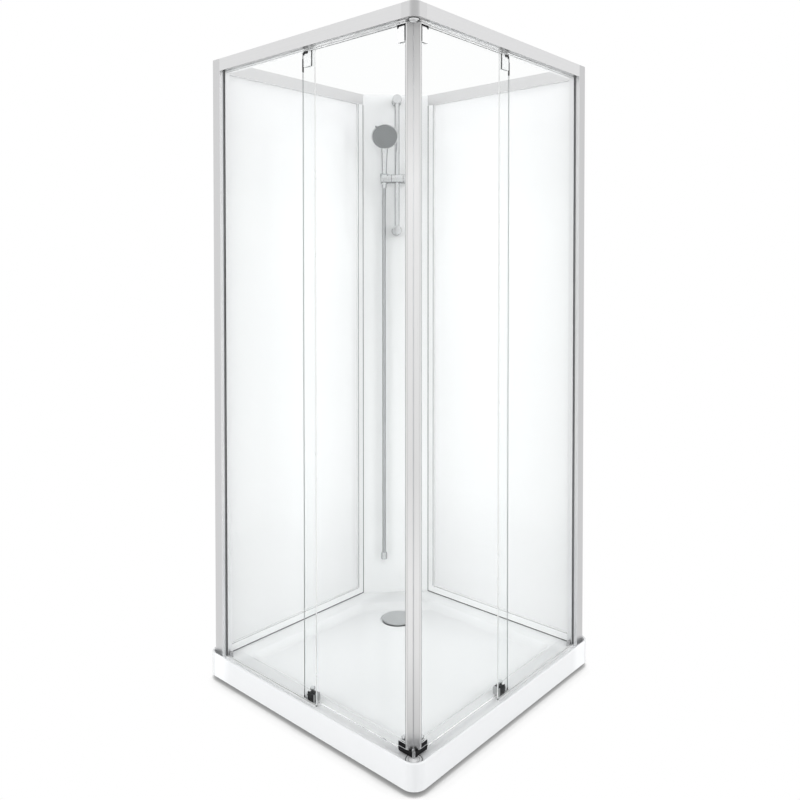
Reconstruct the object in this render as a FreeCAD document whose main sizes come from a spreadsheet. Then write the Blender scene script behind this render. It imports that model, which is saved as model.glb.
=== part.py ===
import FreeCAD, Part
import math
import os
import re

import Sketcher

# Square corner shower cabin with two sliding doors that meet at the front corner.
# Millimetres. Origin on the floor under the middle of the tray, +Z up, the front corner at (+X, -Y).
# The -Y side is the left front and the +X side the right front. The right half mirrors the left half
# in the upright plane through the front and the back corner.

doc = FreeCAD.newDocument("shower_cabin")
sheet = doc.addObject("Spreadsheet::Sheet", "dims")

SIZES = {
    # tray
    "tray_width": 900, "corner_round": 40, "skirt_gap": 15, "skirt_wall": 6,
    "lip_level": 87.5, "lip_width": 8, "lip_round": 3, "ledge_level": 68,
    "basin_level": 47, "basin_run": 24, "basin_round": 30, "underside_level": 36,
    "ledge_front": 70, "ledge_back": 100, "ledge_corner": 93,
    # waste
    "drain_inset": 260, "recess_radius": 62, "recess_depth": 5, "drain_radius": 45,
    "flange_radius": 60, "flange_bore": 40, "flange_thick": 2, "neck_clear": 0.5,
    "cover_radius": 56, "cover_gap": 2, "cover_thick": 5.5, "cover_foot_radius": 3,
    "cover_edge_drop": 1.5, "cover_edge_run": 2,
    "waste_radius": 52, "waste_wall": 6, "waste_base": 1.5, "gasket_thick": 2,
    "pipe_radius": 16, "pipe_bore": 13.5, "pipe_reach": 215, "pipe_centre": 17.8, "notch_width": 120,
    "collar_gap": 1, "collar_long": 7, "collar_radius": 17.4,
    # feet and carrying frame
    "bar_width": 30, "bar_inset": 120, "bar_end_gap": 50, "bar_base": 18, "cross_inset": 250,
    "foot_inset": 100, "foot_radius": 20, "foot_thick": 6, "stud_radius": 5, "nut_radius": 9,
    "nut_base": 9, "nut_thick": 6, "nut_clear": 0.05,
    # aluminium frame
    "top_level": 2000, "frame_inset": 19, "rail_high": 39, "rail_deep": 46, "rail_wall": 3,
    "post_wide": 38, "post_deep": 40, "joint_round": 25,
    "pane_slot": 8, "pane_slot_deep": 14, "post_slot": 10, "post_slot_deep": 12,
    "track_thick": 4, "arm_slot": 9,
    # glass
    "glass_thick": 5, "pane_inset": 37, "door_inset": 49, "pane_lead": 41, "door_trail": -22,
    "sill_high": 6, "seal_proud": 3,
    # walls
    "wall_deep": 24, "wall_rail_high": 40, "wall_foot_high": 28, "stile_wide": 28, "corner_inset": 218,
    "groove_wide": 6, "groove_deep": 10, "panel_thick": 5, "edge_clear": 1,
    # door fittings
    "door_top_gap": 5.5, "door_foot": 77, "grip_inset": 69, "grip_strip": 7.5, "grip_front": 40,
    "grip_valley": 54, "grip_back": 60, "grip_slot_deep": 7.5, "grip_foot": 87.5, "grip_top_gap": 4,
    "magnet_thick": 1.7, "meeting_gap": 0.5,
    "hanger_wide": 31, "hanger_drop": 44.5, "plate_front": 3, "plate_back": 6, "hanger_cap": 3.5,
    "arm_wide": 20, "arm_thick": 4, "hanger_inset": 85, "hanger_rear_place": 1,
    "roller_radius": 10, "roller_thick": 5, "roller_clear": 0.3, "roller_groove": 1, "roller_side_gap": 0.5,
    "axle_radius": 3, "axle_clear": 0.05, "axle_proud": 0.5,
    "guide_wide": 46, "guide_base": 71.5, "guide_high": 27, "guide_block": 15.5, "guide_rear_place": 3,
    "guide_inset": 98, "knob_radius": 7.2, "knob_thick": 5, "knob_lift": 5.3, "knob_edge": 2,
    "knob_margin": 2, "stem_radius": 5,
    "stem_long": 19, "stem_clear": 0.08,
    "stop_radius": 21.5, "stop_thick": 3, "stop_place": 44, "cap_radius": 13, "cap_thick": 2.5,
    "buffer_radius": 7, "buffer_high": 17,
    # shower set
    "riser_shift": 4, "riser_stand": 56, "riser_radius": 9, "riser_low": 1476, "riser_high": 1971,
    "bracket_radius": 18.5, "bracket_proud": 2, "bar_end": 5, "socket_clear": 0.05,
    "slider_level": 1671, "slider_radius": 17.5, "slider_half": 22, "slide_clear": 0.06, "turn_gap": 0.3,
    "holder_long": 40, "pivot_radius": 6, "pivot_long": 11, "handset_shift": 48.6, "handset_lean": 20,
    "knob_long": 22, "knob_stud": 5, "knob_stud_long": 9, "hose_slot": 15.5,
    "cone_top": 11.5, "cone_foot": 9, "cone_up": 20, "cone_down": 36,
    "handle_foot": 9, "handle_head": 13, "handle_long": 112, "handle_collar": 6, "neck_run": 4,
    "neck_short": 12, "neck_tip": 8, "head_radius": 49, "head_thick": 20,
    "head_back_run": 16, "head_side_run": 3, "head_rim": 4, "head_rim_run": 1,
    "head_drop": 11, "head_rise": 166, "head_front": 20, "face_radius": 45, "face_thick": 3,
    "face_proud": 3, "face_clear": 0.3, "face_edge": 1, "tab_root": 5,
    "tab_reach": 55, "tab_wide": 7, "tab_turn": 130,
    "hose_radius": 7, "hose_bore": 5, "hose_lead": 12, "hose_bend": 250, "hose_low": 236,
    "end_nut_radius": 11.5, "end_nut_bore": 9.3, "end_nut_long": 27, "end_thread_long": 14,
}

for row, (alias, number) in enumerate(SIZES.items(), 1):
    sheet.set("A%d" % row, alias)
    sheet.set("B%d" % row, str(number))
    sheet.setAlias("B%d" % row, alias)

# Places that keep their distance from the tray's edge.
PLACES = {
    "drain_place": "tray_width / 2 - drain_inset",
    "bar_place": "tray_width / 2 - bar_inset",
    "bar_length": "tray_width - 2 * bar_end_gap",
    "cross_place": "tray_width / 2 - cross_inset",
    "foot_place": "tray_width / 2 - foot_inset",
    "corner_end": "tray_width / 2 - corner_inset",
    "grip_side": "tray_width / 2 - grip_inset",
    "hanger_front_place": "tray_width / 2 - hanger_inset",
    "guide_front_end": "tray_width / 2 - guide_inset",
}

for row, (alias, formula) in enumerate(PLACES.items(), len(SIZES) + 1):
    sheet.set("A%d" % row, alias)
    sheet.set("B%d" % row, "=" + formula)
    sheet.setAlias("B%d" % row, alias)
doc.recompute()

# Lengths that several pieces share, written once as formulas of the sheet's values.
HALF = "tray_width / 2"
FRAME_FACE = "(tray_width / 2 - frame_inset)"
RAIL_FOOT = "(top_level - rail_high)"
RAIL_BACK = "(frame_inset + rail_deep)"
POST_SIDE = "(frame_inset + post_wide)"
POST_BACK = "(frame_inset + post_deep)"
WALL_FACE = "(frame_inset + wall_deep)"
GROOVE_LOW = "(frame_inset + (wall_deep - groove_wide) / 2)"
GROOVE_HIGH = "(frame_inset + (wall_deep + groove_wide) / 2)"
DOOR_FRONT = "(door_inset - glass_thick / 2)"
DOOR_BACK = "(door_inset + glass_thick / 2)"
DOOR_TOP = "(top_level - rail_high - door_top_gap)"
SLOT_FRONT = "(door_inset - arm_slot / 2)"
SLOT_BACK = "(door_inset + arm_slot / 2)"
AXLE_LEVEL = "(top_level - rail_high + track_thick + roller_clear + roller_radius)"
GRIP_LONG = "(top_level - rail_high - grip_top_gap - grip_foot)"
RECESS_FLOOR = "(basin_level - recess_depth)"
COVER_FOOT = "(basin_level - recess_depth + flange_thick)"
PANEL_MID = "((tray_width / 2 - frame_inset - wall_deep + corner_end) / 2)"
RISER_X = "riser_shift"
HANDSET_X = "(riser_shift - handset_shift)"


def size(alias):
    """A driving dimension as a plain number."""
    return float(sheet.get(alias))


def bind(item, prop, formula):
    """Ties a property to a formula in which every sheet name stands for its cell."""
    def cell(word):
        return "dims." + word[0] if word[0] in SIZES or word[0] in PLACES else word[0]

    named = re.sub(r"[a-z_]+[a-z]", cell, str(formula))
    item.setExpression(prop, named)


def place(item, x=0, y=0, z=0, turn=None):
    """Turns an object and ties its position to the sheet."""
    if turn is not None:
        item.Placement = FreeCAD.Placement(FreeCAD.Vector(), turn)
    for axis, formula in zip("xyz", (x, y, z)):
        bind(item, "Placement.Base." + axis, formula)
    return item


def new_body(label):
    return doc.addObject("PartDesign::Body", label)


def new_sketch(body, plane, level=None):
    """A sketch on one of the body's own planes, lifted off it by a formula."""
    sketch = body.newObject("Sketcher::SketchObject", body.Name + "_sketch")
    support = [f for f in body.Origin.OriginFeatures if f.Role == plane][0]
    sketch.AttachmentSupport = (support, [""])
    sketch.MapMode = "FlatFace"
    if level is not None:
        bind(sketch, "AttachmentOffset.Base.z", level)
    return sketch


def pin_point(sketch, edge, spot, formulas):
    """Ties one sketch point to formulas for its two coordinates."""
    for kind, axis, formula in (("DistanceX", -2, formulas[0]), ("DistanceY", -1, formulas[1])):
        if formula == 0:
            sketch.addConstraint(Sketcher.Constraint("PointOnObject", edge, spot, axis))
        else:
            number = sketch.addConstraint(Sketcher.Constraint(kind, -1, 1, edge, spot, 1.0))
            bind(sketch, "Constraints[%d]" % number, formula)


def polygon(sketch, points):
    """A closed outline whose corners are given as pairs of formulas."""
    count = len(points)
    first = sketch.GeometryCount
    ring = [FreeCAD.Vector(math.cos(6.283 * i / count), math.sin(6.283 * i / count), 0) for i in range(count)]
    for i in range(count):
        sketch.addGeometry(Part.LineSegment(ring[i], ring[(i + 1) % count]))
    for i in range(count):
        after = first + (i + 1) % count
        sketch.addConstraint(Sketcher.Constraint("Coincident", first + i, 2, after, 1))
    for i, formulas in enumerate(points):
        pin_point(sketch, first + i, 1, formulas)
    return sketch


def circle(sketch, x, y, radius):
    """A circle tied to formulas for its centre and radius."""
    edge = sketch.addGeometry(Part.Circle(FreeCAD.Vector(1, 1, 0), FreeCAD.Vector(0, 0, 1), 1))
    pin_point(sketch, edge, 3, (x, y))
    number = sketch.addConstraint(Sketcher.Constraint("Radius", edge, 1.0))
    bind(sketch, "Constraints[%d]" % number, radius)
    return sketch


def rectangle(sketch, low_x, low_y, high_x, high_y):
    return polygon(sketch, [(low_x, low_y), (high_x, low_y), (high_x, high_y), (low_x, high_y)])


def feature(body, kind, sketch, length, reverse=False):
    """A pad or a pocket of a sketch over a length."""
    item = body.newObject("PartDesign::" + kind, body.Name + "_" + kind.lower())
    item.Profile = sketch
    bind(item, "Length", length)
    item.Reversed = reverse
    return item


def turned(body, sketch, axis="V_Axis"):
    """A full revolution of a sketch about its own upright or level axis."""
    item = body.newObject("PartDesign::Revolution", body.Name + "_turned")
    item.Profile = sketch
    item.ReferenceAxis = (sketch, [axis])
    item.Angle = 360
    return item


def rounded(body, radius, wanted):
    """Rounds the edges of the body's last feature that the test accepts."""
    doc.recompute()
    last = body.Tip
    names = ["Edge%d" % i for i, edge in enumerate(last.Shape.Edges, 1) if wanted(edge)]
    item = body.newObject("PartDesign::Fillet", body.Name + "_round")
    item.Base = (last, names)
    bind(item, "Radius", radius)
    return item


def upright(edge):
    span = edge.BoundBox
    return span.ZLength > 1 and span.XLength < 0.01 and span.YLength < 0.01


def block(name, low, high, turn=None):
    """A box between two corners given as formulas."""
    item = doc.addObject("Part::Box", name)
    for prop, a, b in zip(("Length", "Width", "Height"), low, high):
        bind(item, prop, "(%s) - (%s)" % (b, a))
    return place(item, *low, turn=turn)


def rod(name, radius, length, x, y, z, turn=None):
    """A cylinder from a foot point along +Z, or along the turned axis."""
    item = doc.addObject("Part::Cylinder", name)
    bind(item, "Radius", radius)
    bind(item, "Height", length)
    return place(item, x, y, z, turn)


def joined(name, pieces):
    item = doc.addObject("Part::MultiFuse", name)
    item.Shapes = pieces
    return item


def grouped(name, pieces):
    item = doc.addObject("Part::Compound", name)
    item.Links = pieces
    return item


def cut(name, base, tool):
    item = doc.addObject("Part::Cut", name)
    item.Base = base
    item.Tool = tool
    return item


def mirrored(left):
    """The right-hand twin of a left-hand piece."""
    twin = doc.addObject("Part::Mirroring", left.Label.replace("left_", "right_"))
    twin.Source = left
    twin.Base = FreeCAD.Vector(0, 0, 0)
    twin.Normal = FreeCAD.Vector(1, 1, 0)
    return twin


ALONG_X = FreeCAD.Rotation(FreeCAD.Vector(0, 1, 0), 90)
ALONG_Y = FreeCAD.Rotation(FreeCAD.Vector(1, 0, 0), -90)
TO_FRONT = FreeCAD.Rotation(FreeCAD.Vector(1, 0, 0), 90)
DIAGONAL = FreeCAD.Rotation(FreeCAD.Vector(0, 0, 1), 45)


# Tray, waste and feet

def basin_outline(inset):
    """Corners of the basin, pulled in from the ledge's inner edge by a formula."""
    front = "(tray_width / 2 - ledge_front - %s)" % inset
    back = "(tray_width / 2 - ledge_back - %s)" % inset
    slant = "(2 * %s - sqrt(2) * (ledge_corner + %s))" % (PANEL_MID, inset)
    return [
        ("-" + back, "-" + front), (front, "-" + front), (front, back),
        (back + " - " + slant, back), ("-" + back, slant + " - " + back),
    ]


def corner_edges(reach):
    """Test for the upright edges at the four corners of a square."""
    def wanted(edge):
        spot = edge.CenterOfMass
        return upright(edge) and abs(abs(spot.x) - reach) < 0.1 and abs(abs(spot.y) - reach) < 0.1
    return wanted


def make_tray():
    body = new_body("shower_tray")
    half = size("tray_width") / 2
    outer = rectangle(new_sketch(body, "XY_Plane", "skirt_gap"), "-" + HALF, "-" + HALF, HALF, HALF)
    feature(body, "Pad", outer, "lip_level - skirt_gap")
    inner = "(tray_width / 2 - lip_width)"
    top = rectangle(new_sketch(body, "XY_Plane", "lip_level"), "-" + inner, "-" + inner, inner, inner)
    feature(body, "Pocket", top, "lip_level - ledge_level")
    hollow = "(tray_width / 2 - skirt_wall)"
    under = rectangle(new_sketch(body, "XY_Plane", "skirt_gap"), "-" + hollow, "-" + hollow, hollow, hollow)
    feature(body, "Pocket", under, "underside_level - skirt_gap", reverse=True)
    rounded(body, "corner_round - lip_width", corner_edges(half - size("lip_width")))
    rounded(body, "corner_round - skirt_wall", corner_edges(half - size("skirt_wall")))
    rounded(body, "corner_round", corner_edges(half))
    rounded(body, "lip_round", lambda e: e.BoundBox.ZMin > size("lip_level") - 0.01)
    basin = body.newObject("PartDesign::SubtractiveLoft", "basin")
    basin.Profile = polygon(new_sketch(body, "XY_Plane", "ledge_level"), basin_outline("0"))
    basin.Sections = [polygon(new_sketch(body, "XY_Plane", "basin_level"), basin_outline("basin_run"))]
    basin.Ruled = True
    slope = size("ledge_level") - size("basin_level")
    rounded(body, "basin_round", lambda e: abs(e.BoundBox.ZLength - slope) < 0.01)
    spot = ("-drain_place", "drain_place")
    recess = circle(new_sketch(body, "XY_Plane", "basin_level"), *spot, "recess_radius")
    feature(body, "Pocket", recess, "recess_depth")
    drain = circle(new_sketch(body, "XY_Plane", "basin_level"), *spot, "drain_radius")
    feature(body, "Pocket", drain, "basin_level - skirt_gap")
    notch = rectangle(new_sketch(body, "XY_Plane", "skirt_gap"), "-drain_place - notch_width / 2",
                      HALF + " - 2 * skirt_wall", "-drain_place + notch_width / 2", HALF + " + skirt_wall")
    feature(body, "Pocket", notch, "underside_level - skirt_gap", reverse=True)
    return body


def make_support_frame():
    low, high = "bar_base", "underside_level"
    bars = []
    for side in (-1, 0, 1):
        middle = "%d * bar_place" % side
        bars.append(block("bar", (middle + " - bar_width / 2", "-bar_length / 2", low),
                          (middle + " + bar_width / 2", "bar_length / 2", high)))
    bars.append(block("cross", ("-bar_place", "-cross_place - bar_width / 2", low),
                      ("bar_place", "-cross_place + bar_width / 2", high)))
    return joined("support_frame", bars)


def foot_spots():
    return [("%d * bar_place" % i, "%d * foot_place" % j) for i in (-1, 0, 1) for j in (-1, 1)]


def make_feet():
    feet = []
    for x, y in foot_spots():
        pad = rod("pad", "foot_radius", "foot_thick", x, y, 0)
        stud = rod("stud", "stud_radius", "bar_base - foot_thick", x, y, "foot_thick")
        feet.append(joined("foot", [pad, stud]))
    return grouped("levelling_feet", feet)


def make_locknuts():
    nuts = []
    for x, y in foot_spots():
        prism = doc.addObject("Part::Prism", "nut_prism")
        bind(prism, "Circumradius", "nut_radius")
        bind(prism, "Height", "nut_thick")
        place(prism, x, y, "nut_base")
        bore = rod("nut_bore", "stud_radius + nut_clear", "nut_thick", x, y, "nut_base")
        nuts.append(cut("nut", prism, bore))
    return grouped("foot_locknuts", nuts)


def at_drain(item, z=0):
    return place(item, "-drain_place", "drain_place", z)


def make_drain_flange():
    body = new_body("drain_flange")
    neck = "(drain_radius - neck_clear)"
    foot = "(underside_level - gasket_thick - (%s))" % RECESS_FLOOR
    points = [("flange_bore", foot), (neck, foot), (neck, 0), ("flange_radius", 0),
              ("flange_radius", "flange_thick"), ("flange_bore", "flange_thick")]
    turned(body, polygon(new_sketch(body, "XZ_Plane"), points))
    return at_drain(body, RECESS_FLOOR)


def make_waste_gasket():
    body = new_body("waste_gasket")
    ring = new_sketch(body, "XY_Plane")
    circle(ring, 0, 0, "waste_radius")
    circle(ring, 0, 0, "waste_radius - waste_wall")
    feature(body, "Pad", ring, "gasket_thick")
    return at_drain(body, "underside_level - gasket_thick")


def make_waste_body():
    height = "(underside_level - gasket_thick - waste_base)"
    spot = ("-drain_place", "drain_place")
    cup = rod("waste_cup", "waste_radius", height, *spot, "waste_base")
    pipe = rod("waste_pipe", "pipe_radius", "pipe_reach", *spot, "pipe_centre", ALONG_Y)
    root = "drain_place + waste_radius + collar_gap"
    collar = rod("pipe_collar", "collar_radius", "collar_long", "-drain_place", root, "pipe_centre", ALONG_Y)
    shell = joined("waste_shell", [cup, pipe, collar])
    well = rod("waste_well", "waste_radius - waste_wall", height, *spot, "waste_base + waste_wall")
    bore = rod("waste_bore", "pipe_bore", "pipe_reach", *spot, "pipe_centre", ALONG_Y)
    return cut("waste_body", shell, joined("waste_inside", [well, bore]))


def make_drain_cover():
    body = new_body("cover_disc")
    edge = "(cover_gap + cover_thick)"
    points = [(0, "cover_gap"), ("cover_radius", "cover_gap"), ("cover_radius", edge + " - cover_edge_drop"),
              ("cover_radius - cover_edge_run", edge), (0, edge)]
    turned(body, polygon(new_sketch(body, "XZ_Plane"), points))
    at_drain(body, COVER_FOOT)
    pieces = [body]
    ring = "(flange_bore + cover_radius) / 2"
    for turn in (90, 210, 330):
        x = "-drain_place + %s * %.4f" % (ring, math.cos(math.radians(turn)))
        y = "drain_place + %s * %.4f" % (ring, math.sin(math.radians(turn)))
        pieces.append(rod("cover_foot", "cover_foot_radius", "cover_gap", x, y, COVER_FOOT))
    return joined("drain_cover", pieces)


# Aluminium frame and glass of the left half

def make_post():
    body = new_body("left_post")
    near, far = "(pane_inset - post_slot / 2)", "(pane_inset + post_slot / 2)"
    deep = "(%s - post_slot_deep)" % POST_SIDE
    floor = "(%s - groove_deep)" % POST_BACK
    points = [("frame_inset", "frame_inset"), (POST_SIDE, "frame_inset"), (POST_SIDE, near), (deep, near),
              (deep, far), (POST_SIDE, far), (POST_SIDE, POST_BACK), (GROOVE_HIGH, POST_BACK),
              (GROOVE_HIGH, floor), (GROOVE_LOW, floor), (GROOVE_LOW, POST_BACK), ("frame_inset", POST_BACK)]
    feature(body, "Pad", polygon(new_sketch(body, "XY_Plane"), points), "top_level - ledge_level")
    return place(body, "-" + HALF, "-" + HALF, "ledge_level")


def make_top_rail():
    body = new_body("left_top_rail")
    near, far = "(pane_inset - pane_slot / 2)", "(pane_inset + pane_slot / 2)"
    foot = 0
    head = "rail_high"
    roof = "(rail_high - rail_wall)"
    back_wall = "(%s - rail_wall)" % RAIL_BACK
    points = [("frame_inset", foot), ("frame_inset", head), (RAIL_BACK, head), (RAIL_BACK, foot),
              (SLOT_BACK, foot), (SLOT_BACK, "track_thick"), (back_wall, "track_thick"), (back_wall, roof),
              (SLOT_FRONT, roof), (SLOT_FRONT, foot), (far, foot), (far, "pane_slot_deep"),
              (near, "pane_slot_deep"), (near, foot)]
    profile = polygon(new_sketch(body, "YZ_Plane"), points)
    rectangle(profile, "frame_inset + rail_wall", "rail_wall", near + " - rail_wall", roof)
    feature(body, "Pad", profile, "tray_width - %s - %s" % (POST_SIDE, RAIL_BACK))
    return place(body, "-%s + %s" % (HALF, POST_SIDE), "-" + HALF, RAIL_FOOT)


def make_corner_joint():
    body = new_body("top_corner_joint")
    low, high = "(tray_width / 2 - %s)" % RAIL_BACK, FRAME_FACE
    profile = rectangle(new_sketch(body, "XY_Plane"), low, "-" + high, high, "-" + low)
    feature(body, "Pad", profile, "rail_high")
    face = size("tray_width") / 2 - size("frame_inset")

    def outermost(edge):
        spot = edge.CenterOfMass
        return upright(edge) and spot.x > face - 0.1 and spot.y < 0.1 - face

    rounded(body, "joint_round", outermost)
    return place(body, 0, 0, RAIL_FOOT)


def make_fixed_pane():
    start = "-%s + %s - post_slot_deep + edge_clear" % (HALF, POST_SIDE)
    low = (start, "-%s + pane_inset - glass_thick / 2" % HALF, "ledge_level + sill_high / 2")
    high = ("pane_lead", "-%s + pane_inset + glass_thick / 2" % HALF,
            RAIL_FOOT + " + pane_slot_deep - edge_clear")
    return block("left_fixed_pane", low, high)


def make_pane_seal():
    body = new_body("left_pane_seal")
    near, far = "(pane_inset - post_slot / 2)", "(pane_inset + post_slot / 2)"
    inner_near, inner_far = "(pane_inset - glass_thick / 2)", "(pane_inset + glass_thick / 2)"
    front = "(%s + seal_proud)" % POST_SIDE
    deep = "(%s - post_slot_deep)" % POST_SIDE
    points = [(deep, near), (front, near), (front, inner_near), (deep + " + edge_clear", inner_near),
              (deep + " + edge_clear", inner_far), (front, inner_far), (front, far), (deep, far)]
    height = "%s - ledge_level - sill_high" % RAIL_FOOT
    feature(body, "Pad", polygon(new_sketch(body, "XY_Plane"), points), height)
    return place(body, "-" + HALF, "-" + HALF, "ledge_level + sill_high")


def make_pane_sill():
    body = new_body("left_pane_sill")
    near, far = "(pane_inset - post_slot / 2)", "(pane_inset + post_slot / 2)"
    inner_near, inner_far = "(pane_inset - glass_thick / 2)", "(pane_inset + glass_thick / 2)"
    points = [(near, 0), (far, 0), (far, "sill_high"), (inner_far, "sill_high"), (inner_far, "sill_high / 2"),
              (inner_near, "sill_high / 2"), (inner_near, "sill_high"), (near, "sill_high")]
    start = "(%s - post_slot_deep)" % POST_SIDE
    feature(body, "Pad", polygon(new_sketch(body, "YZ_Plane"), points), "pane_lead + %s - %s" % (HALF, start))
    return place(body, "-%s + %s" % (HALF, start), "-" + HALF, "ledge_level")


def wall_profile(body, plane, foot, head, groove_foot):
    """Section of a wall frame member: a bar with a groove for the panel in one side."""
    floor = "(%s + groove_deep)" % foot if groove_foot else "(%s - groove_deep)" % head
    open_side = foot if groove_foot else head
    shut_side = head if groove_foot else foot
    points = [("frame_inset", shut_side), ("frame_inset", open_side), (GROOVE_LOW, open_side),
              (GROOVE_LOW, floor), (GROOVE_HIGH, floor), (GROOVE_HIGH, open_side), (WALL_FACE, open_side),
              (WALL_FACE, shut_side)]
    return polygon(new_sketch(body, plane), points)


def make_wall_top_rail():
    body = new_body("left_wall_top_rail")
    profile = wall_profile(body, "XZ_Plane", "top_level - wall_rail_high", "top_level", True)
    feature(body, "Pad", profile, "corner_end + %s - %s" % (HALF, POST_BACK))
    return place(body, "-" + HALF, "corner_end", 0)


def make_wall_bottom_rail():
    body = new_body("left_wall_bottom_rail")
    profile = wall_profile(body, "XZ_Plane", "ledge_level", "ledge_level + wall_foot_high", False)
    feature(body, "Pad", profile, "corner_end - stile_wide + %s - %s" % (HALF, POST_BACK))
    return place(body, "-" + HALF, "corner_end - stile_wide", 0)


def make_wall_stile():
    body = new_body("left_wall_stile")
    profile = wall_profile(body, "XY_Plane", "(corner_end - stile_wide)", "corner_end", True)
    feature(body, "Pad", profile, "top_level - wall_rail_high - ledge_level")
    return place(body, "-" + HALF, 0, "ledge_level")


def make_wall_panel():
    middle = "(-%s + frame_inset + wall_deep / 2)" % HALF
    low = (middle + " - panel_thick / 2", "-%s + %s - groove_deep + edge_clear" % (HALF, POST_BACK),
           "ledge_level + wall_foot_high - groove_deep")
    high = (middle + " + panel_thick / 2", "corner_end - stile_wide + groove_deep - edge_clear",
            "top_level - wall_rail_high + groove_deep - edge_clear")
    return block("left_wall_panel", low, high)


def make_corner_panel():
    body = new_body("corner_panel")
    face, back = "(%s - %s)" % (HALF, WALL_FACE), FRAME_FACE
    bend = "(%s + panel_thick * (sqrt(2) - 1))" % face
    flange = "(corner_end + panel_thick)"
    points = [("-" + face, "corner_end"), ("-corner_end", face), ("-corner_end", back), ("-" + flange, back),
              ("-" + flange, bend), ("-" + bend, flange), ("-" + back, flange), ("-" + back, "corner_end")]
    feature(body, "Pad", polygon(new_sketch(body, "XY_Plane"), points), "top_level - ledge_level")
    return place(body, 0, 0, "ledge_level")


def make_corner_stop():
    """A round stop on the ledge and a smaller round cap under the corner joint, on one upright line."""
    x, y = HALF + " - stop_place", "-%s + stop_place" % HALF
    lower = rod("ledge_stop", "stop_radius", "stop_thick", x, y, "ledge_level")
    upper = rod("joint_cap", "cap_radius", "cap_thick", x, y, RAIL_FOOT + " - cap_thick")
    return grouped("corner_stop", [lower, upper])


def make_door_buffers():
    """Short round buffers on the ledge that stop the doors before the posts."""
    x = "-%s + %s + buffer_radius + edge_clear" % (HALF, POST_SIDE)
    left = rod("left_buffer", "buffer_radius", "buffer_high", x, "-%s + door_inset" % HALF, "ledge_level")
    return grouped("door_buffers", [left, mirrored(left)])


# Left sliding door

def make_door_glass():
    low = ("door_trail", "-%s + %s" % (HALF, DOOR_FRONT), "door_foot")
    high = ("grip_side + grip_slot_deep", "-%s + %s" % (HALF, DOOR_BACK), DOOR_TOP)
    return block("left_door_glass", low, high)


def meeting(inset, gap):
    """Where a line across the door at some inset ends, short of the plane in which the doors meet."""
    return "(tray_width / 2 - %s - %s)" % (inset, gap)


def make_door_grip():
    body = new_body("left_door_grip")
    gap = "(meeting_gap + magnet_thick)"
    deep = "(grip_side + grip_slot_deep)"
    points = [("grip_side", "grip_front"), ("grip_side + grip_strip", "grip_front"),
              (meeting("grip_valley", gap), "grip_valley"), (meeting("grip_back", gap), "grip_back"),
              ("grip_side", "grip_back"), ("grip_side", DOOR_BACK), (deep, DOOR_BACK), (deep, DOOR_FRONT),
              ("grip_side", DOOR_FRONT)]
    feature(body, "Pad", polygon(new_sketch(body, "XY_Plane"), points), GRIP_LONG)
    return place(body, 0, "-" + HALF, "grip_foot")


def make_magnet_strip():
    body = new_body("left_magnet_strip")
    back, front = "(meeting_gap + magnet_thick)", "meeting_gap"
    points = [(meeting("grip_valley", back), "grip_valley"), (meeting("grip_valley", front), "grip_valley"),
              (meeting("grip_back", front), "grip_back"), (meeting("grip_back", back), "grip_back")]
    feature(body, "Pad", polygon(new_sketch(body, "XY_Plane"), points), GRIP_LONG)
    return place(body, 0, "-" + HALF, "grip_foot")


def make_hanger(middle):
    """A clamp over the glass edge with an arm that reaches up into the rail."""
    body = new_body("hanger")
    front, back = "(%s - plate_front)" % DOOR_FRONT, "(%s + plate_back)" % DOOR_BACK
    drop = "-hanger_drop"
    profile = polygon(new_sketch(body, "YZ_Plane"), [
        (front, drop), (DOOR_FRONT, drop), (DOOR_FRONT, 0), (DOOR_BACK, 0), (DOOR_BACK, drop), (back, drop),
        (back, "hanger_cap"), (front, "hanger_cap")])
    feature(body, "Pad", profile, "hanger_wide")
    place(body, middle + " - hanger_wide / 2", "-" + HALF, DOOR_TOP)
    low = (middle + " - arm_wide / 2", "-%s + door_inset - arm_thick / 2" % HALF, DOOR_TOP + " + hanger_cap")
    high = (middle + " + arm_wide / 2", "-%s + door_inset + arm_thick / 2" % HALF,
            AXLE_LEVEL + " + arm_wide / 3")
    arm = block("hanger_arm", low, high)
    return joined("hanger_piece", [body, arm])


HANGER_SPOTS = {"front": "hanger_front_place", "rear": "hanger_rear_place"}
ROLLER_NEAR = "(%s + roller_side_gap)" % SLOT_BACK


def make_axle(middle):
    start = "-%s + door_inset + arm_thick / 2" % HALF
    reach = "%s + roller_thick + axle_proud - door_inset - arm_thick / 2" % ROLLER_NEAR
    return rod("axle_pin", "axle_radius", reach, middle, start, AXLE_LEVEL, ALONG_Y)


def make_roller(label, middle):
    body = new_body(label)
    groove = "roller_thick / 5"
    points = [("axle_radius + axle_clear", 0), ("roller_radius", 0), ("roller_radius", groove),
              ("roller_radius - roller_groove", "roller_thick / 2"),
              ("roller_radius", "roller_thick - " + groove), ("roller_radius", "roller_thick"),
              ("axle_radius + axle_clear", "roller_thick")]
    turned(body, polygon(new_sketch(body, "XZ_Plane"), points))
    return place(body, middle, "-%s + %s" % (HALF, ROLLER_NEAR), AXLE_LEVEL, ALONG_Y)


def guide_knob_spot(middle):
    return middle, "-%s + %s + guide_block / 2" % (HALF, DOOR_BACK)


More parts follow.
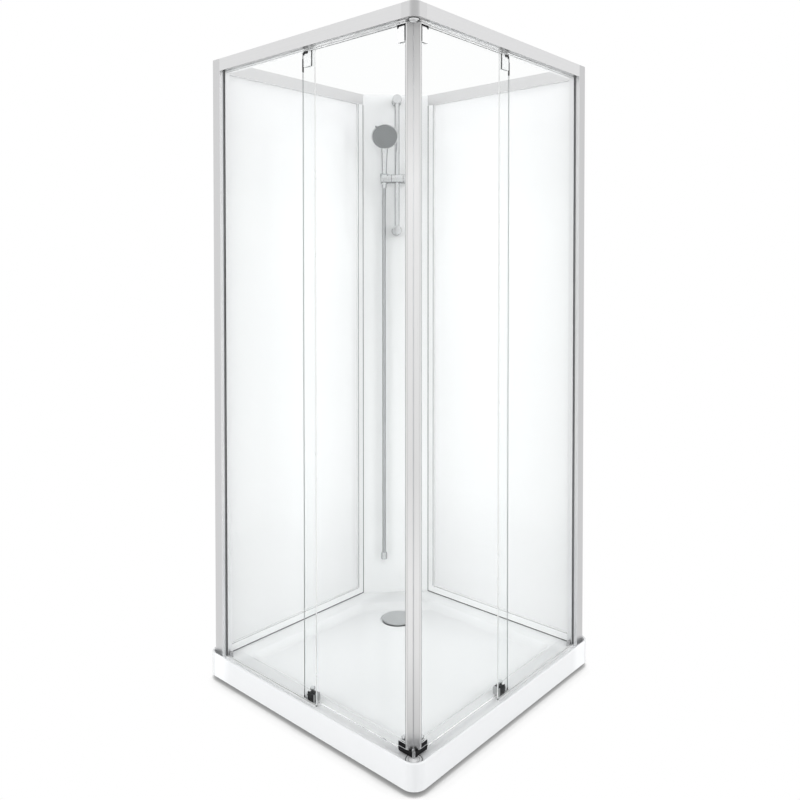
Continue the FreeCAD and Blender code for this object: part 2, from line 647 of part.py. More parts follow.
def make_rear_guide():
    """A shoe around the lower glass edge with a block for the release knob on the inner side."""
    body = new_body("rear_guide")
    front, back = "(%s - plate_front)" % DOOR_FRONT, "(%s + guide_block)" % DOOR_BACK
    foot = "(door_foot - guide_base)"
    profile = polygon(new_sketch(body, "YZ_Plane"), [
        (front, 0), (back, 0), (back, "guide_high"), (DOOR_BACK, "guide_high"), (DOOR_BACK, foot),
        (DOOR_FRONT, foot), (DOOR_FRONT, "guide_high"), (front, "guide_high")])
    feature(body, "Pad", profile, "guide_wide")
    place(body, "guide_rear_place - guide_wide / 2", "-" + HALF, "guide_base")
    x, y = guide_knob_spot("guide_rear_place")
    bore = rod("rear_knob_bore", "stem_radius + stem_clear", "guide_high", x, y, "door_foot + edge_clear")
    return cut("rear_guide_piece", body, bore)


KNOB_FRONT = "(guide_front_end + knob_radius + knob_margin)"


def make_front_guide():
    """A mitred shoe under the grip that closes against its mirror image at the front corner."""
    body = new_body("front_guide")
    front, back = "(%s - plate_front)" % DOOR_FRONT, "(%s + guide_block)" % DOOR_BACK
    points = [("guide_front_end", front), (meeting(front, "meeting_gap"), front),
              (meeting(back, "meeting_gap"), back), ("guide_front_end", back)]
    feature(body, "Pad", polygon(new_sketch(body, "XY_Plane"), points), "grip_foot - guide_base")
    upper = rectangle(new_sketch(body, "XY_Plane", "grip_foot - guide_base"), "guide_front_end", front,
                      "grip_side - edge_clear", back)
    feature(body, "Pad", upper, "guide_base + guide_high - grip_foot")
    slot = rectangle(new_sketch(body, "XY_Plane", "guide_high"), "guide_front_end - edge_clear", DOOR_FRONT,
                     "grip_side + grip_slot_deep", DOOR_BACK)
    feature(body, "Pocket", slot, "guide_base + guide_high - door_foot")
    place(body, 0, "-" + HALF, "guide_base")
    x, y = guide_knob_spot(KNOB_FRONT)
    bore = rod("front_knob_bore", "stem_radius + stem_clear", "guide_high", x, y, "door_foot + edge_clear")
    return cut("front_guide_piece", body, bore)


def make_knob(label, middle):
    """A round push knob on a stem that dips into the guide's block."""
    body = new_body(label)
    head = "(stem_long + knob_thick)"
    points = [(0, 0), ("stem_radius", 0), ("stem_radius", "stem_long"), ("knob_radius", "stem_long"),
              ("knob_radius", head + " - knob_edge"), ("knob_radius - knob_edge", head), (0, head)]
    turned(body, polygon(new_sketch(body, "XZ_Plane"), points))
    x, y = guide_knob_spot(middle)
    return place(body, x, y, "guide_base + guide_high + knob_lift - stem_long")


# Shower set on the corner panel: local x runs to the right along the panel, local -y off its face

def on_panel(item, x, off, z, turn=DIAGONAL):
    """Places an object by its shift along the panel, its distance off the panel and its height."""
    across = "(%s) / sqrt(2)" % x
    out = "(%s) / sqrt(2)" % off
    x_place = "-%s + %s + %s" % (PANEL_MID, across, out)
    y_place = "%s + %s - %s" % (PANEL_MID, across, out)
    return place(item, x_place, y_place, z, turn)


def panel_rod(name, radius, length, x, off, z, turn):
    return on_panel(rod(name, radius, length, 0, 0, 0), x, off, z, DIAGONAL.multiply(turn))


UP = FreeCAD.Rotation()
RISER_LONG = "(riser_high - riser_low + 2 * bar_end)"
BRACKET_LONG = "(riser_stand + riser_radius + bracket_proud)"


def make_riser_bar():
    return panel_rod("riser_bar", "riser_radius", RISER_LONG, RISER_X, "riser_stand", "riser_low - bar_end", UP)


def make_riser_brackets():
    ends = []
    for level in ("riser_low", "riser_high"):
        ends.append(panel_rod("bracket", "bracket_radius", BRACKET_LONG, RISER_X, 0, level, TO_FRONT))
    bore = panel_rod("bracket_bore", "riser_radius + socket_clear", RISER_LONG, RISER_X, "riser_stand",
                     "riser_low - bar_end", UP)
    return cut("riser_brackets", grouped("bracket_pair", ends), bore)


def make_slider():
    barrel = panel_rod("barrel", "slider_radius", "2 * slider_half", "riser_shift - slider_half", "riser_stand",
                       "slider_level", ALONG_X)
    bore = panel_rod("riser_bore", "riser_radius + slide_clear", "2 * slider_radius", RISER_X, "riser_stand",
                     "slider_level - slider_radius", UP)
    pivot = panel_rod("pivot_bore", "pivot_radius + slide_clear", "pivot_long + turn_gap",
                      "riser_shift - slider_half", "riser_stand", "slider_level", ALONG_X)
    start = "riser_shift + slider_half - knob_stud_long - turn_gap"
    stud = panel_rod("stud_bore", "knob_stud + slide_clear", "knob_stud_long + turn_gap", start, "riser_stand",
                     "slider_level", ALONG_X)
    return cut("slider_body", barrel, joined("slider_bores", [bore, pivot, stud]))


LEAN = DIAGONAL.multiply(FreeCAD.Rotation(FreeCAD.Vector(1, 0, 0), size("handset_lean")))


def holder_cone(name, extra):
    """The seat of the handset, a cone about the leaning handle axis."""
    cone = doc.addObject("Part::Cone", name)
    bind(cone, "Radius1", "cone_foot + %s" % extra)
    bind(cone, "Radius2", "cone_top + %s" % extra)
    bind(cone, "Height", "cone_up + cone_down")
    reach = "cone_down"
    shift = "riser_stand - %s * sin(handset_lean)" % reach
    return on_panel(cone, HANDSET_X, shift, "slider_level - %s * cos(handset_lean)" % reach, LEAN)


def make_holder():
    start = "riser_shift - slider_half - turn_gap"
    barrel = panel_rod("holder_barrel", "slider_radius", "holder_long", start + " - holder_long", "riser_stand",
                       "slider_level", ALONG_X)
    pivot = panel_rod("holder_pivot", "pivot_radius", "pivot_long + turn_gap", start, "riser_stand",
                      "slider_level", ALONG_X)
    slot = block("hose_slot_cut", (0, 0, 0), ("hose_slot", "3 * slider_radius", "4 * slider_radius"))
    on_panel(slot, HANDSET_X + " - hose_slot / 2", "riser_stand - 2 * slider_radius * sin(handset_lean)",
             "slider_level - 2 * slider_radius * cos(handset_lean)", LEAN)
    inside = joined("holder_inside", [holder_cone("holder_seat", "socket_clear"), slot])
    return cut("tilt_holder", joined("holder_shell", [barrel, pivot]), inside)


def make_clamp_knob():
    start = "riser_shift + slider_half + turn_gap"
    grip = panel_rod("knob_grip", "slider_radius", "knob_long", start, "riser_stand", "slider_level", ALONG_X)
    stud = panel_rod("knob_stud_rod", "knob_stud", "knob_stud_long", start + " - knob_stud_long", "riser_stand",
                     "slider_level", ALONG_X)
    return joined("clamp_knob", [grip, stud])


def on_handset(item, y, z, turn):
    """Places an object by its spot in the handle's own upright plane."""
    tilt = "handset_lean"
    off = "riser_stand + (%s) * sin(%s) - (%s) * cos(%s)" % (z, tilt, y, tilt)
    level = "slider_level + (%s) * cos(%s) + (%s) * sin(%s)" % (z, tilt, y, tilt)
    return on_panel(item, HANDSET_X, off, level, LEAN.multiply(turn))


FACE_DOWN = FreeCAD.Rotation(FreeCAD.Vector(1, 0, 0), 90 + size("head_drop"))
HEAD_BACK = "(head_thick - head_front)"


def make_handset():
    handle = new_body("handle")
    points = [(0, "cone_up"), ("handle_foot", "cone_up"), ("handle_foot", "cone_up + handle_collar"),
              ("handle_head", "cone_up + handle_long"), ("handle_head - neck_run", "head_rise - neck_short"),
              (0, "head_rise - neck_tip")]
    turned(handle, polygon(new_sketch(handle, "XZ_Plane"), points))
    on_handset(handle, "0", "0", UP)
    head = new_body("head")
    points = [(0, 0), ("head_radius - head_back_run", 0), ("head_radius - head_side_run", "head_thick / 2"),
              ("head_radius", "head_thick - head_rim"), ("head_radius - head_rim_run", "head_thick"),
              (0, "head_thick")]
    turned(head, polygon(new_sketch(head, "XZ_Plane"), points))
    on_handset(head, HEAD_BACK, "head_rise", FACE_DOWN)
    recess = rod("face_recess", "face_radius + face_clear", "head_thick", 0, 0, 0)
    seat = "(head_thick - face_thick)"
    on_handset(recess, "%s - %s * cos(head_drop)" % (HEAD_BACK, seat),
               "head_rise - %s * sin(head_drop)" % seat, FACE_DOWN)
    return cut("handset_body", joined("handset_shell", [handle, head]), recess)


def make_spray_face():
    """The nozzle plate, with a small lever over the rim that turns it."""
    body = new_body("nozzle_plate")
    low = "(head_thick - face_thick + face_clear)"
    points = [(0, low), ("face_radius", low), ("face_radius", "head_thick + face_proud - face_edge"),
              ("face_radius - face_edge", "head_thick + face_proud"), (0, "head_thick + face_proud")]
    turned(body, polygon(new_sketch(body, "XZ_Plane"), points))
    lever = new_body("face_lever")
    base = new_sketch(lever, "XY_Plane", "head_thick + face_clear")
    rectangle(base, "face_radius - tab_root", "-tab_wide / 2", "tab_reach", "tab_wide / 2")
    feature(lever, "Pad", base, "face_proud - face_clear")
    on_handset(body, HEAD_BACK, "head_rise", FACE_DOWN)
    swing = FreeCAD.Rotation(FreeCAD.Vector(0, 0, 1), size("tab_turn"))
    on_handset(lever, HEAD_BACK, "head_rise", FACE_DOWN.multiply(swing))
    return joined("spray_face", [body, lever])


HOSE_OFF = "(riser_stand - (cone_down + hose_lead) * sin(handset_lean) - hose_bend * (1 - cos(handset_lean)))"


def make_hose():
    """A tube that leaves the handle along its axis, bends to plumb in one arc and hangs straight down."""
    lean = math.radians(size("handset_lean"))
    middle = (size("tray_width") / 2 - size("frame_inset") - size("wall_deep") + size("corner_end")) / 2
    across = (size("riser_shift") - size("handset_shift")) / math.sqrt(2)

    def spot(off, level):
        out = off / math.sqrt(2)
        return FreeCAD.Vector(across - middle + out, across + middle - out, level)

    start_off = size("riser_stand") - size("cone_down") * math.sin(lean)
    start_level = size("slider_level") - size("cone_down") * math.cos(lean)
    bend_off = start_off - size("hose_lead") * math.sin(lean)
    bend_level = start_level - size("hose_lead") * math.cos(lean)
    radius = size("hose_bend")

    def on_arc(turn):
        off = bend_off + radius * (math.cos(lean) - math.cos(turn))
        return spot(off, bend_level - radius * (math.sin(lean) - math.sin(turn)))

    plumb = on_arc(0)
    foot = FreeCAD.Vector(plumb.x, plumb.y, size("hose_low"))
    path = Part.Wire([
        Part.makeLine(spot(start_off, start_level), on_arc(lean)),
        Part.Arc(on_arc(lean), on_arc(lean / 2), plumb).toShape(),
        Part.makeLine(plumb, foot),
    ])
    skins = []
    for skin in ("hose_radius", "hose_bore"):
        ring = Part.Wire([Part.makeCircle(size(skin), foot, FreeCAD.Vector(0, 0, 1))])
        skins.append(path.makePipeShell([ring], True, False))
    tube = skins[0].cut(skins[1])
    section = math.pi * (size("hose_radius") ** 2 - size("hose_bore") ** 2)
    print("hose length %.1f mm, bend radius %.0f mm" % (path.Length, radius))
    print("hose volume %.0f mm3, section times length %.0f mm3" % (tube.Volume, section * path.Length))
    item = doc.addObject("Part::Feature", "shower_hose")
    item.Shape = tube
    return item


def make_end_nut():
    shell = panel_rod("end_shell", "end_nut_radius", "end_nut_long", HANDSET_X, HOSE_OFF,
                      "hose_low - end_nut_long", UP)
    thread = panel_rod("end_thread", "end_nut_bore", "end_thread_long", HANDSET_X, HOSE_OFF,
                       "hose_low - end_nut_long", UP)
    return cut("hose_end_nut", shell, thread)


hangers = [make_hanger(spot) for spot in HANGER_SPOTS.values()]
axles = [make_axle(spot) for spot in HANGER_SPOTS.values()]

left_pieces = [
    make_post(), make_top_rail(), make_fixed_pane(), make_pane_seal(), make_pane_sill(),
    make_wall_top_rail(), make_wall_bottom_rail(), make_wall_stile(), make_wall_panel(),
    make_door_glass(), make_door_grip(), make_magnet_strip(),
    grouped("left_hangers", hangers), grouped("left_roller_axles", axles),
    grouped("left_guides", [make_front_guide(), make_rear_guide()]),
    make_roller("left_front_roller", HANGER_SPOTS["front"]),
    make_roller("left_rear_roller", HANGER_SPOTS["rear"]),
    make_knob("left_front_release", KNOB_FRONT),
    make_knob("left_rear_release", "guide_rear_place"),
]
shared_pieces = [
    make_tray(), make_support_frame(), make_feet(), make_locknuts(), make_drain_flange(), make_waste_gasket(),
    make_waste_body(), make_drain_cover(), make_corner_joint(), make_corner_panel(), make_corner_stop(),
    make_door_buffers(),
    make_riser_bar(), make_riser_brackets(), make_slider(), make_holder(), make_clamp_knob(),
    holder_cone("hose_cone_nut", "0"), make_handset(), make_spray_face(), make_hose(), make_end_nut(),
]
pieces = shared_pieces + left_pieces + [mirrored(left) for left in left_pieces]
doc.recompute()

faults = [item.Name for item in doc.Objects if "Invalid" in item.State or "Error" in item.State]
faults += [item.Label for item in pieces if item.Shape.isNull() or not item.Shape.isValid()]
if faults:
    raise RuntimeError("faulty objects: " + ", ".join(faults))

os.makedirs("parts", exist_ok=True)
for item in pieces:
    item.Shape.exportStep("parts/%s.step" % item.Label)
    span = item.Shape.BoundBox
    print("%-24s solids %d volume %9.0f  x %.1f %.1f  y %.1f %.1f  z %.1f %.1f" % (
        item.Label, len(item.Shape.Solids), item.Shape.Volume, span.XMin, span.XMax, span.YMin, span.YMax,
        span.ZMin, span.ZMax))
print("pieces", len(pieces))
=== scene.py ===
# %% [markdown]
# A shower cabin in cells
#
# The CAD model is loaded first as a fixed frame: every rail, pane and fitting is already where it belongs,
# in metres. This lesson dresses it. Each step says what a piece is on the real cabin, how it could be made,
# and why it is made the way it is here.

# %% Load the frame
import math

import bpy
import numpy as np
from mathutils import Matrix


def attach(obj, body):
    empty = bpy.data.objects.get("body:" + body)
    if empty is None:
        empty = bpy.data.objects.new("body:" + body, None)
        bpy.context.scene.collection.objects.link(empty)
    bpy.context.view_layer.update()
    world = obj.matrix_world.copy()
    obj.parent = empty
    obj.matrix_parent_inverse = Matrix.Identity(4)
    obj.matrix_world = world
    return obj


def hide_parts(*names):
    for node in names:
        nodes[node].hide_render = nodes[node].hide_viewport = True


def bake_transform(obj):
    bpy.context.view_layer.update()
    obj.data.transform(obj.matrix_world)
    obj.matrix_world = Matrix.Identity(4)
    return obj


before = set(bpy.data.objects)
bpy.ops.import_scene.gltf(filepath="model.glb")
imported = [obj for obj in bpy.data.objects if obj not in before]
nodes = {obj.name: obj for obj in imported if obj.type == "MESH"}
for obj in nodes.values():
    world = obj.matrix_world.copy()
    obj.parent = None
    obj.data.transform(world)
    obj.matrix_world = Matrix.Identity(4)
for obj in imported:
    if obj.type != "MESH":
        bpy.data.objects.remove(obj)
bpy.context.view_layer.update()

# %% [markdown]
# The camera
#
# The cabin is seen from its front corner at chest height, with upright lines kept upright. That is an
# almost level camera whose picture is shifted down, as with a shift lens. A tilted camera would frame the
# cabin too, but its posts would lean.

# %% Camera
FRAME_PIXELS = 800
FOCAL_PIXELS = 764.7
SENSOR_WIDTH = 36.0
PICTURE_SHIFT = (-0.01284, -0.14569)
CAMERA_SPOT = (1.6800, -1.8695, 1.3340)
CAMERA_DIP = 1.180
CAMERA_TURN = 41.314


def put(name, data):
    """An object with some data, linked into the scene at the origin."""
    item = bpy.data.objects.new(name, data)
    bpy.context.scene.collection.objects.link(item)
    return item


camera_data = bpy.data.cameras.new("camera")
camera_data.sensor_width = SENSOR_WIDTH
camera_data.lens = FOCAL_PIXELS / FRAME_PIXELS * SENSOR_WIDTH
camera_data.shift_x, camera_data.shift_y = PICTURE_SHIFT
camera_data.clip_end = 100
camera = put("camera", camera_data)
camera.location = CAMERA_SPOT
camera.rotation_euler = (math.radians(90 - CAMERA_DIP), 0, math.radians(CAMERA_TURN))
bpy.context.scene.camera = camera
bpy.context.scene.view_settings.view_transform = "Standard"
print("camera: lens %.2f mm at %.2f m" % (camera_data.lens, camera.location.length))

# %% [markdown]
# Helpers for meshes
#
# Nearly every piece here is a bar, a turned part or a slab, and all three are the same thing: a stack of
# rings, each ring with the same number of points. The rings are one array of shape (rings, points, 3). The
# faces follow from the array's shape alone, so no loop runs over the points.

# %% Rings to meshes
MM = 0.001
HALF = 0.45
SIDES = ("left", "right")


def mm(values):
    """Millimetres as an array in metres."""
    return np.asarray(values, float) * MM


def ring_faces(rows, cols, wrap=False):
    """Quads between ring i and ring i + 1, from point j to point j + 1; the last point joins the first."""
    i, j = np.mgrid[0:rows if wrap else rows - 1, 0:cols]
    n, k = (i + 1) % rows, (j + 1) % cols
    return np.stack([i * cols + j, i * cols + k, n * cols + k, n * cols + j], -1).reshape(-1, 4)


def skin(rings, ends=True, wrap=False):
    """Points and faces of a stack of rings, with flat faces over its ends or a wrap from last to first."""
    rows, cols = rings.shape[:2]
    faces = [tuple(f) for f in ring_faces(rows, cols, wrap).tolist()]
    if ends:
        faces.append(tuple(range(cols - 1, -1, -1)))
        faces.append(tuple(range((rows - 1) * cols, rows * cols)))
    return rings.reshape(-1, 3), faces


def outward(shell):
    """Turns the faces round if the enclosed volume, summed over fans of triangles, comes out negative."""
    points, faces = shell
    tri = np.array([(f[0], f[i], f[i + 1]) for f in faces for i in range(1, len(f) - 1)])
    a, b, c = points[tri[:, 0]], points[tri[:, 1]], points[tri[:, 2]]
    volume = np.einsum("ij,ij->i", a, np.cross(b, c)).sum() / 6
    return (points, faces) if volume > 0 else (points, [tuple(f)[::-1] for f in faces])


def together(*shells):
    """Several closed shells, each facing outwards, as one list of points and one list of faces."""
    points, faces, shift = [], [], 0
    for p, f in map(outward, shells):
        points.append(p)
        faces += [tuple(i + shift for i in face) for face in f]
        shift += len(p)
    return np.concatenate(points), faces


def twin(shell):
    """The mirror image in the upright plane through front and back corner: x and y swap and change sign."""
    points, faces = shell
    return np.stack([-points[:, 1], -points[:, 0], points[:, 2]], -1), [f[::-1] for f in faces]


def smooth_mesh(name, shell, material, sharp):
    """A smooth closed mesh object; edges where two faces meet at more than sharp degrees stay hard."""
    points, faces = outward(shell)
    mesh = bpy.data.meshes.new(name)
    mesh.from_pydata(points.tolist(), [], faces)
    mesh.polygons.foreach_set("use_smooth", np.ones(len(mesh.polygons), bool))
    mesh.set_sharp_from_angle(angle=math.radians(sharp))
    mesh.materials.append(material)
    mesh.update()
    return put(name, mesh)


def make(name, shell, body, material, node=None, sharp=35):
    """A piece that rides on a CAD body, has a material slot and may stand for a CAD node."""
    piece = smooth_mesh(name, shell, material, sharp)
    piece.modifiers.new("even_faces", "WEIGHTED_NORMAL").keep_sharp = True
    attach(piece, body)
    if node:
        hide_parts(node)
    return piece


def make_pair(name, shell, body, material, node=None):
    """A left piece and its right twin, with one material or two; bodies and nodes are named by side."""
    materials = material if isinstance(material, tuple) else (material, material)
    for side, form, look in zip(SIDES, (shell, twin(shell)), materials):
        rides = body if body == "cabin" else side + "_" + body
        make(side + "_" + name, form, rides, look, side + "_" + node if node else None)


print("helpers: rings, meshes and pieces")

# %% [markdown]
# Rounded outlines
#
# Drawn aluminium, moulded plastic and cast acrylic have no knife edges: each corner is a small arc, and the
# arc is what catches the light. An arc between two straight runs is a rational curve of three points, with
# the corner as its middle point and the sine of half the corner's angle as its weight, so all corners are
# worked out at once.

# %% Outlines
def rounded(corners, radius, steps=4, closed=True):
    """Each corner P as an arc from A to B: (ssA + 2wstP + ttB) / (ss + 2wst + tt), where s = 1 - t."""
    p = np.asarray(corners, float)
    r = np.broadcast_to(np.asarray(radius, float), len(p))[:, None]
    a, b = np.roll(p, 1, 0) - p, np.roll(p, -1, 0) - p
    la, lb = np.linalg.norm(a, axis=1, keepdims=True), np.linalg.norm(b, axis=1, keepdims=True)
    a, b = a / np.maximum(la, 1e-12), b / np.maximum(lb, 1e-12)
    half = np.arccos(np.clip((a * b).sum(1, keepdims=True), -1, 1)) / 2
    reach = np.minimum(r / np.maximum(np.tan(half), 1e-6), 0.499 * np.minimum(la, lb))
    if not closed:
        reach[[0, -1]] = 0
    w, t = np.sin(half)[:, :, None], np.linspace(0, 1, steps + 1)[None, :, None]
    start, end = (p + a * reach)[:, None], (p + b * reach)[:, None]
    s = 1 - t
    arc = (s * s * start + 2 * w * s * t * p[:, None] + t * t * end) / (s * s + 2 * w * s * t + t * t)
    if not closed:
        return np.concatenate([p[:1], arc[1:-1].reshape(-1, p.shape[1]), p[-1:]])
    return arc.reshape(-1, p.shape[1])


def inset(loop, by):
    """Moves each point of a counter-clockwise loop inwards, square to the line between its neighbours."""
    run = np.roll(loop, -1, 0) - np.roll(loop, 1, 0)
    run /= np.maximum(np.linalg.norm(run, axis=1, keepdims=True), 1e-12)
    return loop + by * np.stack([-run[:, 1], run[:, 0]], -1)


def facing_up(loop):
    """The loop turned counter-clockwise, by the sign of its area."""
    x, y = loop[:, 0], loop[:, 1]
    area = (x * np.roll(y, -1) - y * np.roll(x, -1)).sum()
    return loop if area > 0 else loop[::-1]


def box(x0, x1, y0, y1):
    """The four corners of a rectangle."""
    return [(x0, y0), (x1, y0), (x1, y1), (x0, y1)]


print("helpers: outlines")

# %% [markdown]
# Bars and turned parts
#
# A bar is an outline carried along a line, and a turned part is an outline swept about an axis. Both ask
# where to put their points: the outline gives two lengths, the line or the axis a third, and a small
# function places the three in space. All lengths go in as millimetres and come out in metres.

# %% Bars, turned parts and places
X, Y, UP = np.eye(3)
ACROSS, OUT = (X + Y) / math.sqrt(2), (X - Y) / math.sqrt(2)
PANEL = 319.5


def bar(corners, radii, low, high, edge, place, steps=4):
    """A rounded profile carried along a line from low to high, with bevelled ends, in millimetres."""
    loop = facing_up(rounded(mm(corners), mm(radii), steps))
    rings = []
    for along, by in ((low, edge), (low + edge, 0.0), (high - edge, 0.0), (high, edge)):
        shape = inset(loop, by * MM)
        rings.append(place(shape[:, 0], shape[:, 1], np.full(len(shape), along * MM)))
    return skin(np.array(rings))


def spun(radius, level, place, count, waves=0, depth=0.0):
    """Rings about an axis, one for each radius and level; the radius may carry a cosine wave."""
    angle = np.linspace(0, 2 * np.pi, count, endpoint=False)
    r = radius[:, None] + depth * np.cos(waves * angle)
    return place(r * np.cos(angle), r * np.sin(angle), level[:, None] + 0 * angle)


def lathe(profile, place, count):
    """A profile of (radius, height) turned about an axis; its first and last points lie on the axis."""
    points, faces = skin(spun(*profile[1:-1].T, place, count), ends=False)
    tips = place(np.zeros(2), np.zeros(2), profile[[0, -1], 1])
    last, top = len(points), len(points) - count
    j = np.arange(count)
    k = (j + 1) % count
    faces += np.stack([k, j, np.full(count, last)], -1).tolist()
    faces += np.stack([top + j, top + k, np.full(count, last + 1)], -1).tolist()
    return np.concatenate([points, tips]), [tuple(f) for f in faces]


def turned(corners, radii, place, count, steps=3):
    """A turned part: an open profile of (radius, height) in millimetres, its corners rounded."""
    return lathe(rounded(mm(corners), mm(radii), steps, closed=False), place, count)


def hoop(corners, radii, place, count):
    """A closed profile of (radius, height) in millimetres, turned about an axis that it does not touch."""
    return skin(spun(*rounded(mm(corners), mm(radii)).T, place, count), ends=False, wrap=True)


def fluted(rows, waves, place, count=144):
    """Rings of (radius, height, depth) in millimetres; a cosine wave of that depth lies on each radius."""
    radius, level, depth = mm(rows).T
    return spun(radius, level, place, count, waves, depth[:, None])


def upright(x0=0.0, y0=0.0):
    """Places u, v, w as x, y, z beside an upright line."""
    return lambda u, v, w: np.stack([x0 + u, y0 + v, w], -1)


def along_x(y0=0.0):
    """Places u beside a line along x, v as the height and w along the line."""
    return lambda u, v, w: np.stack([w, y0 + u, v], -1)


def along_y(x0=0.0):
    """Places u beside a line along y, v as the height and w along the line."""
    return lambda u, v, w: np.stack([x0 + u, w, v], -1)


def framed(origin, *axes):
    """Places u, v, w along three directions from an origin."""
    return lambda *uvw: origin + sum(np.asarray(q)[..., None] * axis for q, axis in zip(uvw, axes))


def backwards(x, y, z):
    """An axis along y that starts at a spot given in millimetres."""
    return framed(mm((x, y, z)), X, UP, Y)


def on_panel(along, off, level):
    """A spot by its shift along the slanted panel, its distance off it and its height, in millimetres."""
    return mm((-PANEL, PANEL, 0)) + along * MM * ACROSS + off * MM * OUT + level * MM * UP


print("helpers: bars, turned parts and places")

# %% [markdown]
# Helpers for nodes
#
# A material is a small graph of nodes. Written out, each node takes a line to make it and one for every
# link. Here a node is made in one step: its sockets are named with what goes in, a plain value or the
# output of another node.

# %% Nodes
def add(tree, kind, sockets=None, **settings):
    """One node with its settings; each named or numbered socket gets a link or a plain value."""
    node = tree.nodes.new("ShaderNode" + kind)
    for key, value in settings.items():
        setattr(node, key, value)
    for key, value in (sockets or {}).items():
        if isinstance(value, bpy.types.NodeSocket):
            tree.links.new(value, node.inputs[key])
        else:
            node.inputs[key].default_value = value
    return node


def calc(tree, operation, *values):
    """The result of a Math node."""
    return add(tree, "Math", dict(enumerate(values)), operation=operation).outputs[0]


def dot(tree, vector, way):
    """How far a vector runs in some direction."""
    return add(tree, "VectorMath", {0: vector, 1: way}, operation="DOT_PRODUCT").outputs["Value"]


def tinted(tree, colour, factor):
    """A colour times a value."""
    return add(tree, "VectorMath", {0: colour, "Scale": factor}, operation="SCALE").outputs[0]


def remap(tree, value, low, high, start=0.0, end=1.0, kind="LINEAR"):
    """Stretches the span from start to end to the span from low to high."""
    spans = {"Value": value, "From Min": start, "From Max": end, "To Min": low, "To Max": high}
    return add(tree, "MapRange", spans, interpolation_type=kind).outputs["Result"]


def grey_ramp(tree, value, stops):
    """A ramp of greys; stops are (place from 0 to 1, grey)."""
    node = add(tree, "ValToRGB", {"Fac": value})
    for at, grey in stops[1:-1]:
        node.color_ramp.elements.new(at)
    for element, (at, grey) in zip(node.color_ramp.elements, stops):
        element.position = at
        element.color = (grey, grey, grey, 1)
    return node.outputs["Color"]


def new_material(name):
    """A material and its empty tree."""
    material = bpy.data.materials.new(name)
    material.use_nodes = True
    material.node_tree.nodes.clear()
    return material, material.node_tree


print("helpers: nodes")

# %% [markdown]
# Floor and sky
#
# The cabin stands in a white studio. A plain pale floor runs to the horizon and the sky around it is white,
# so the background is white without any extra light on the object. For a ray that ends in the picture, in
# metal or in glass, the floor shows its own white, darkened where the ambient occlusion finds the tray
# close above it: that is the soft contact shadow. For light that bounces, the floor is an ordinary pale
# surface.

# %% Floor and sky
FLOOR_HALF = 30.0
FLOOR_TONES = [(0.26, 0.22), (0.46, 0.41), (0.58, 0.59), (0.70, 1.0)]
FLOOR_BOUNCE = (0.86, 0.86, 0.86, 1)
SHADOW_REACH = 0.07
SKY_SEEN = {"Color": (1, 1, 1, 1), "Strength": 1.0}
SKY_LIGHT = {"Color": (0.975, 0.988, 1, 1), "Strength": 0.64}


def seen_or_lit(tree, shown, bounced):
    """One shader for what the camera, metal and glass see, another for the light that bounces."""
    path = add(tree, "LightPath").outputs
    seen = calc(tree, "MAXIMUM", path["Is Camera Ray"], path["Is Glossy Ray"])
    seen = calc(tree, "MAXIMUM", seen, path["Is Transmission Ray"])
    return add(tree, "MixShader", {"Fac": seen, 1: bounced.outputs[0], 2: shown.outputs[0]}).outputs[0]


floor_material, tree = new_material("floor_white")
near = add(tree, "AmbientOcclusion", {"Distance": SHADOW_REACH}, samples=16, only_local=False).outputs["AO"]
shown = add(tree, "Emission", {"Color": grey_ramp(tree, near, FLOOR_TONES), "Strength": 1.0})
bounced = add(tree, "BsdfDiffuse", {"Color": FLOOR_BOUNCE})
add(tree, "OutputMaterial", {"Surface": seen_or_lit(tree, shown, bounced)})

floor_mesh = bpy.data.meshes.new("floor")
corners = np.array([(x, y, 0) for x, y in box(-1, 1, -1, 1)]) * FLOOR_HALF
floor_mesh.from_pydata(corners.tolist(), [], [(0, 1, 2, 3)])
floor_mesh.materials.append(floor_material)
put("floor", floor_mesh)

world = bpy.data.worlds.new("studio")
world.use_nodes = True
tree = world.node_tree
tree.nodes.clear()
sky = seen_or_lit(tree, add(tree, "Background", SKY_SEEN), add(tree, "Background", SKY_LIGHT))
add(tree, "OutputWorld", {"Surface": sky})
bpy.context.scene.world = world
print("stage: floor and sky")

# %% [markdown]
# Lamps
#
# Three wide lamps light the cabin: a weak one above and a strong one before each front. The rear corner lies
# furthest from them, so two narrow beams reach in from the front, one low and one to the shower set. The
# lamps are hidden from metal and glass, which show the white room instead.

# %% Lamps
CABIN_MIDDLE = (0, 0, 1.0)
REAR_CORNER = (-0.33, 0.33, 0.36)
SHOWER_SET = (-0.32, 0.32, 1.6)


def lamp(name, spot, target, wide, power, beam=180):
    """A square soft lamp at a spot, turned to a target."""
    data = bpy.data.lights.new(name, "AREA")
    data.size = wide
    data.energy = power
    data.spread = math.radians(beam)
    item = put(name, data)
    item.location = spot
    aim = np.array(target) - np.array(spot)
    level = math.hypot(aim[0], aim[1])
    item.rotation_euler = (math.atan2(level, -aim[2]), 0, math.atan2(-aim[0], aim[1]))
    item.visible_glossy = False
    item.visible_transmission = False


lamp("lamp_top", (0.3, -0.4, 4.2), CABIN_MIDDLE, wide=2.2, power=20)
lamp("lamp_left", (-1.2, -4.2, 2.5), CABIN_MIDDLE, wide=2.5, power=88)
lamp("lamp_right", (4.2, 1.2, 2.5), CABIN_MIDDLE, wide=2.5, power=80)
lamp("lamp_corner", (1.75, -1.3, 3.0), REAR_CORNER, wide=0.6, power=0.5, beam=24)
lamp("lamp_high", (2.7, -2.5, 2.2), SHOWER_SET, wide=0.6, power=0.33, beam=17)
print("lamps:", len(bpy.data.lights))

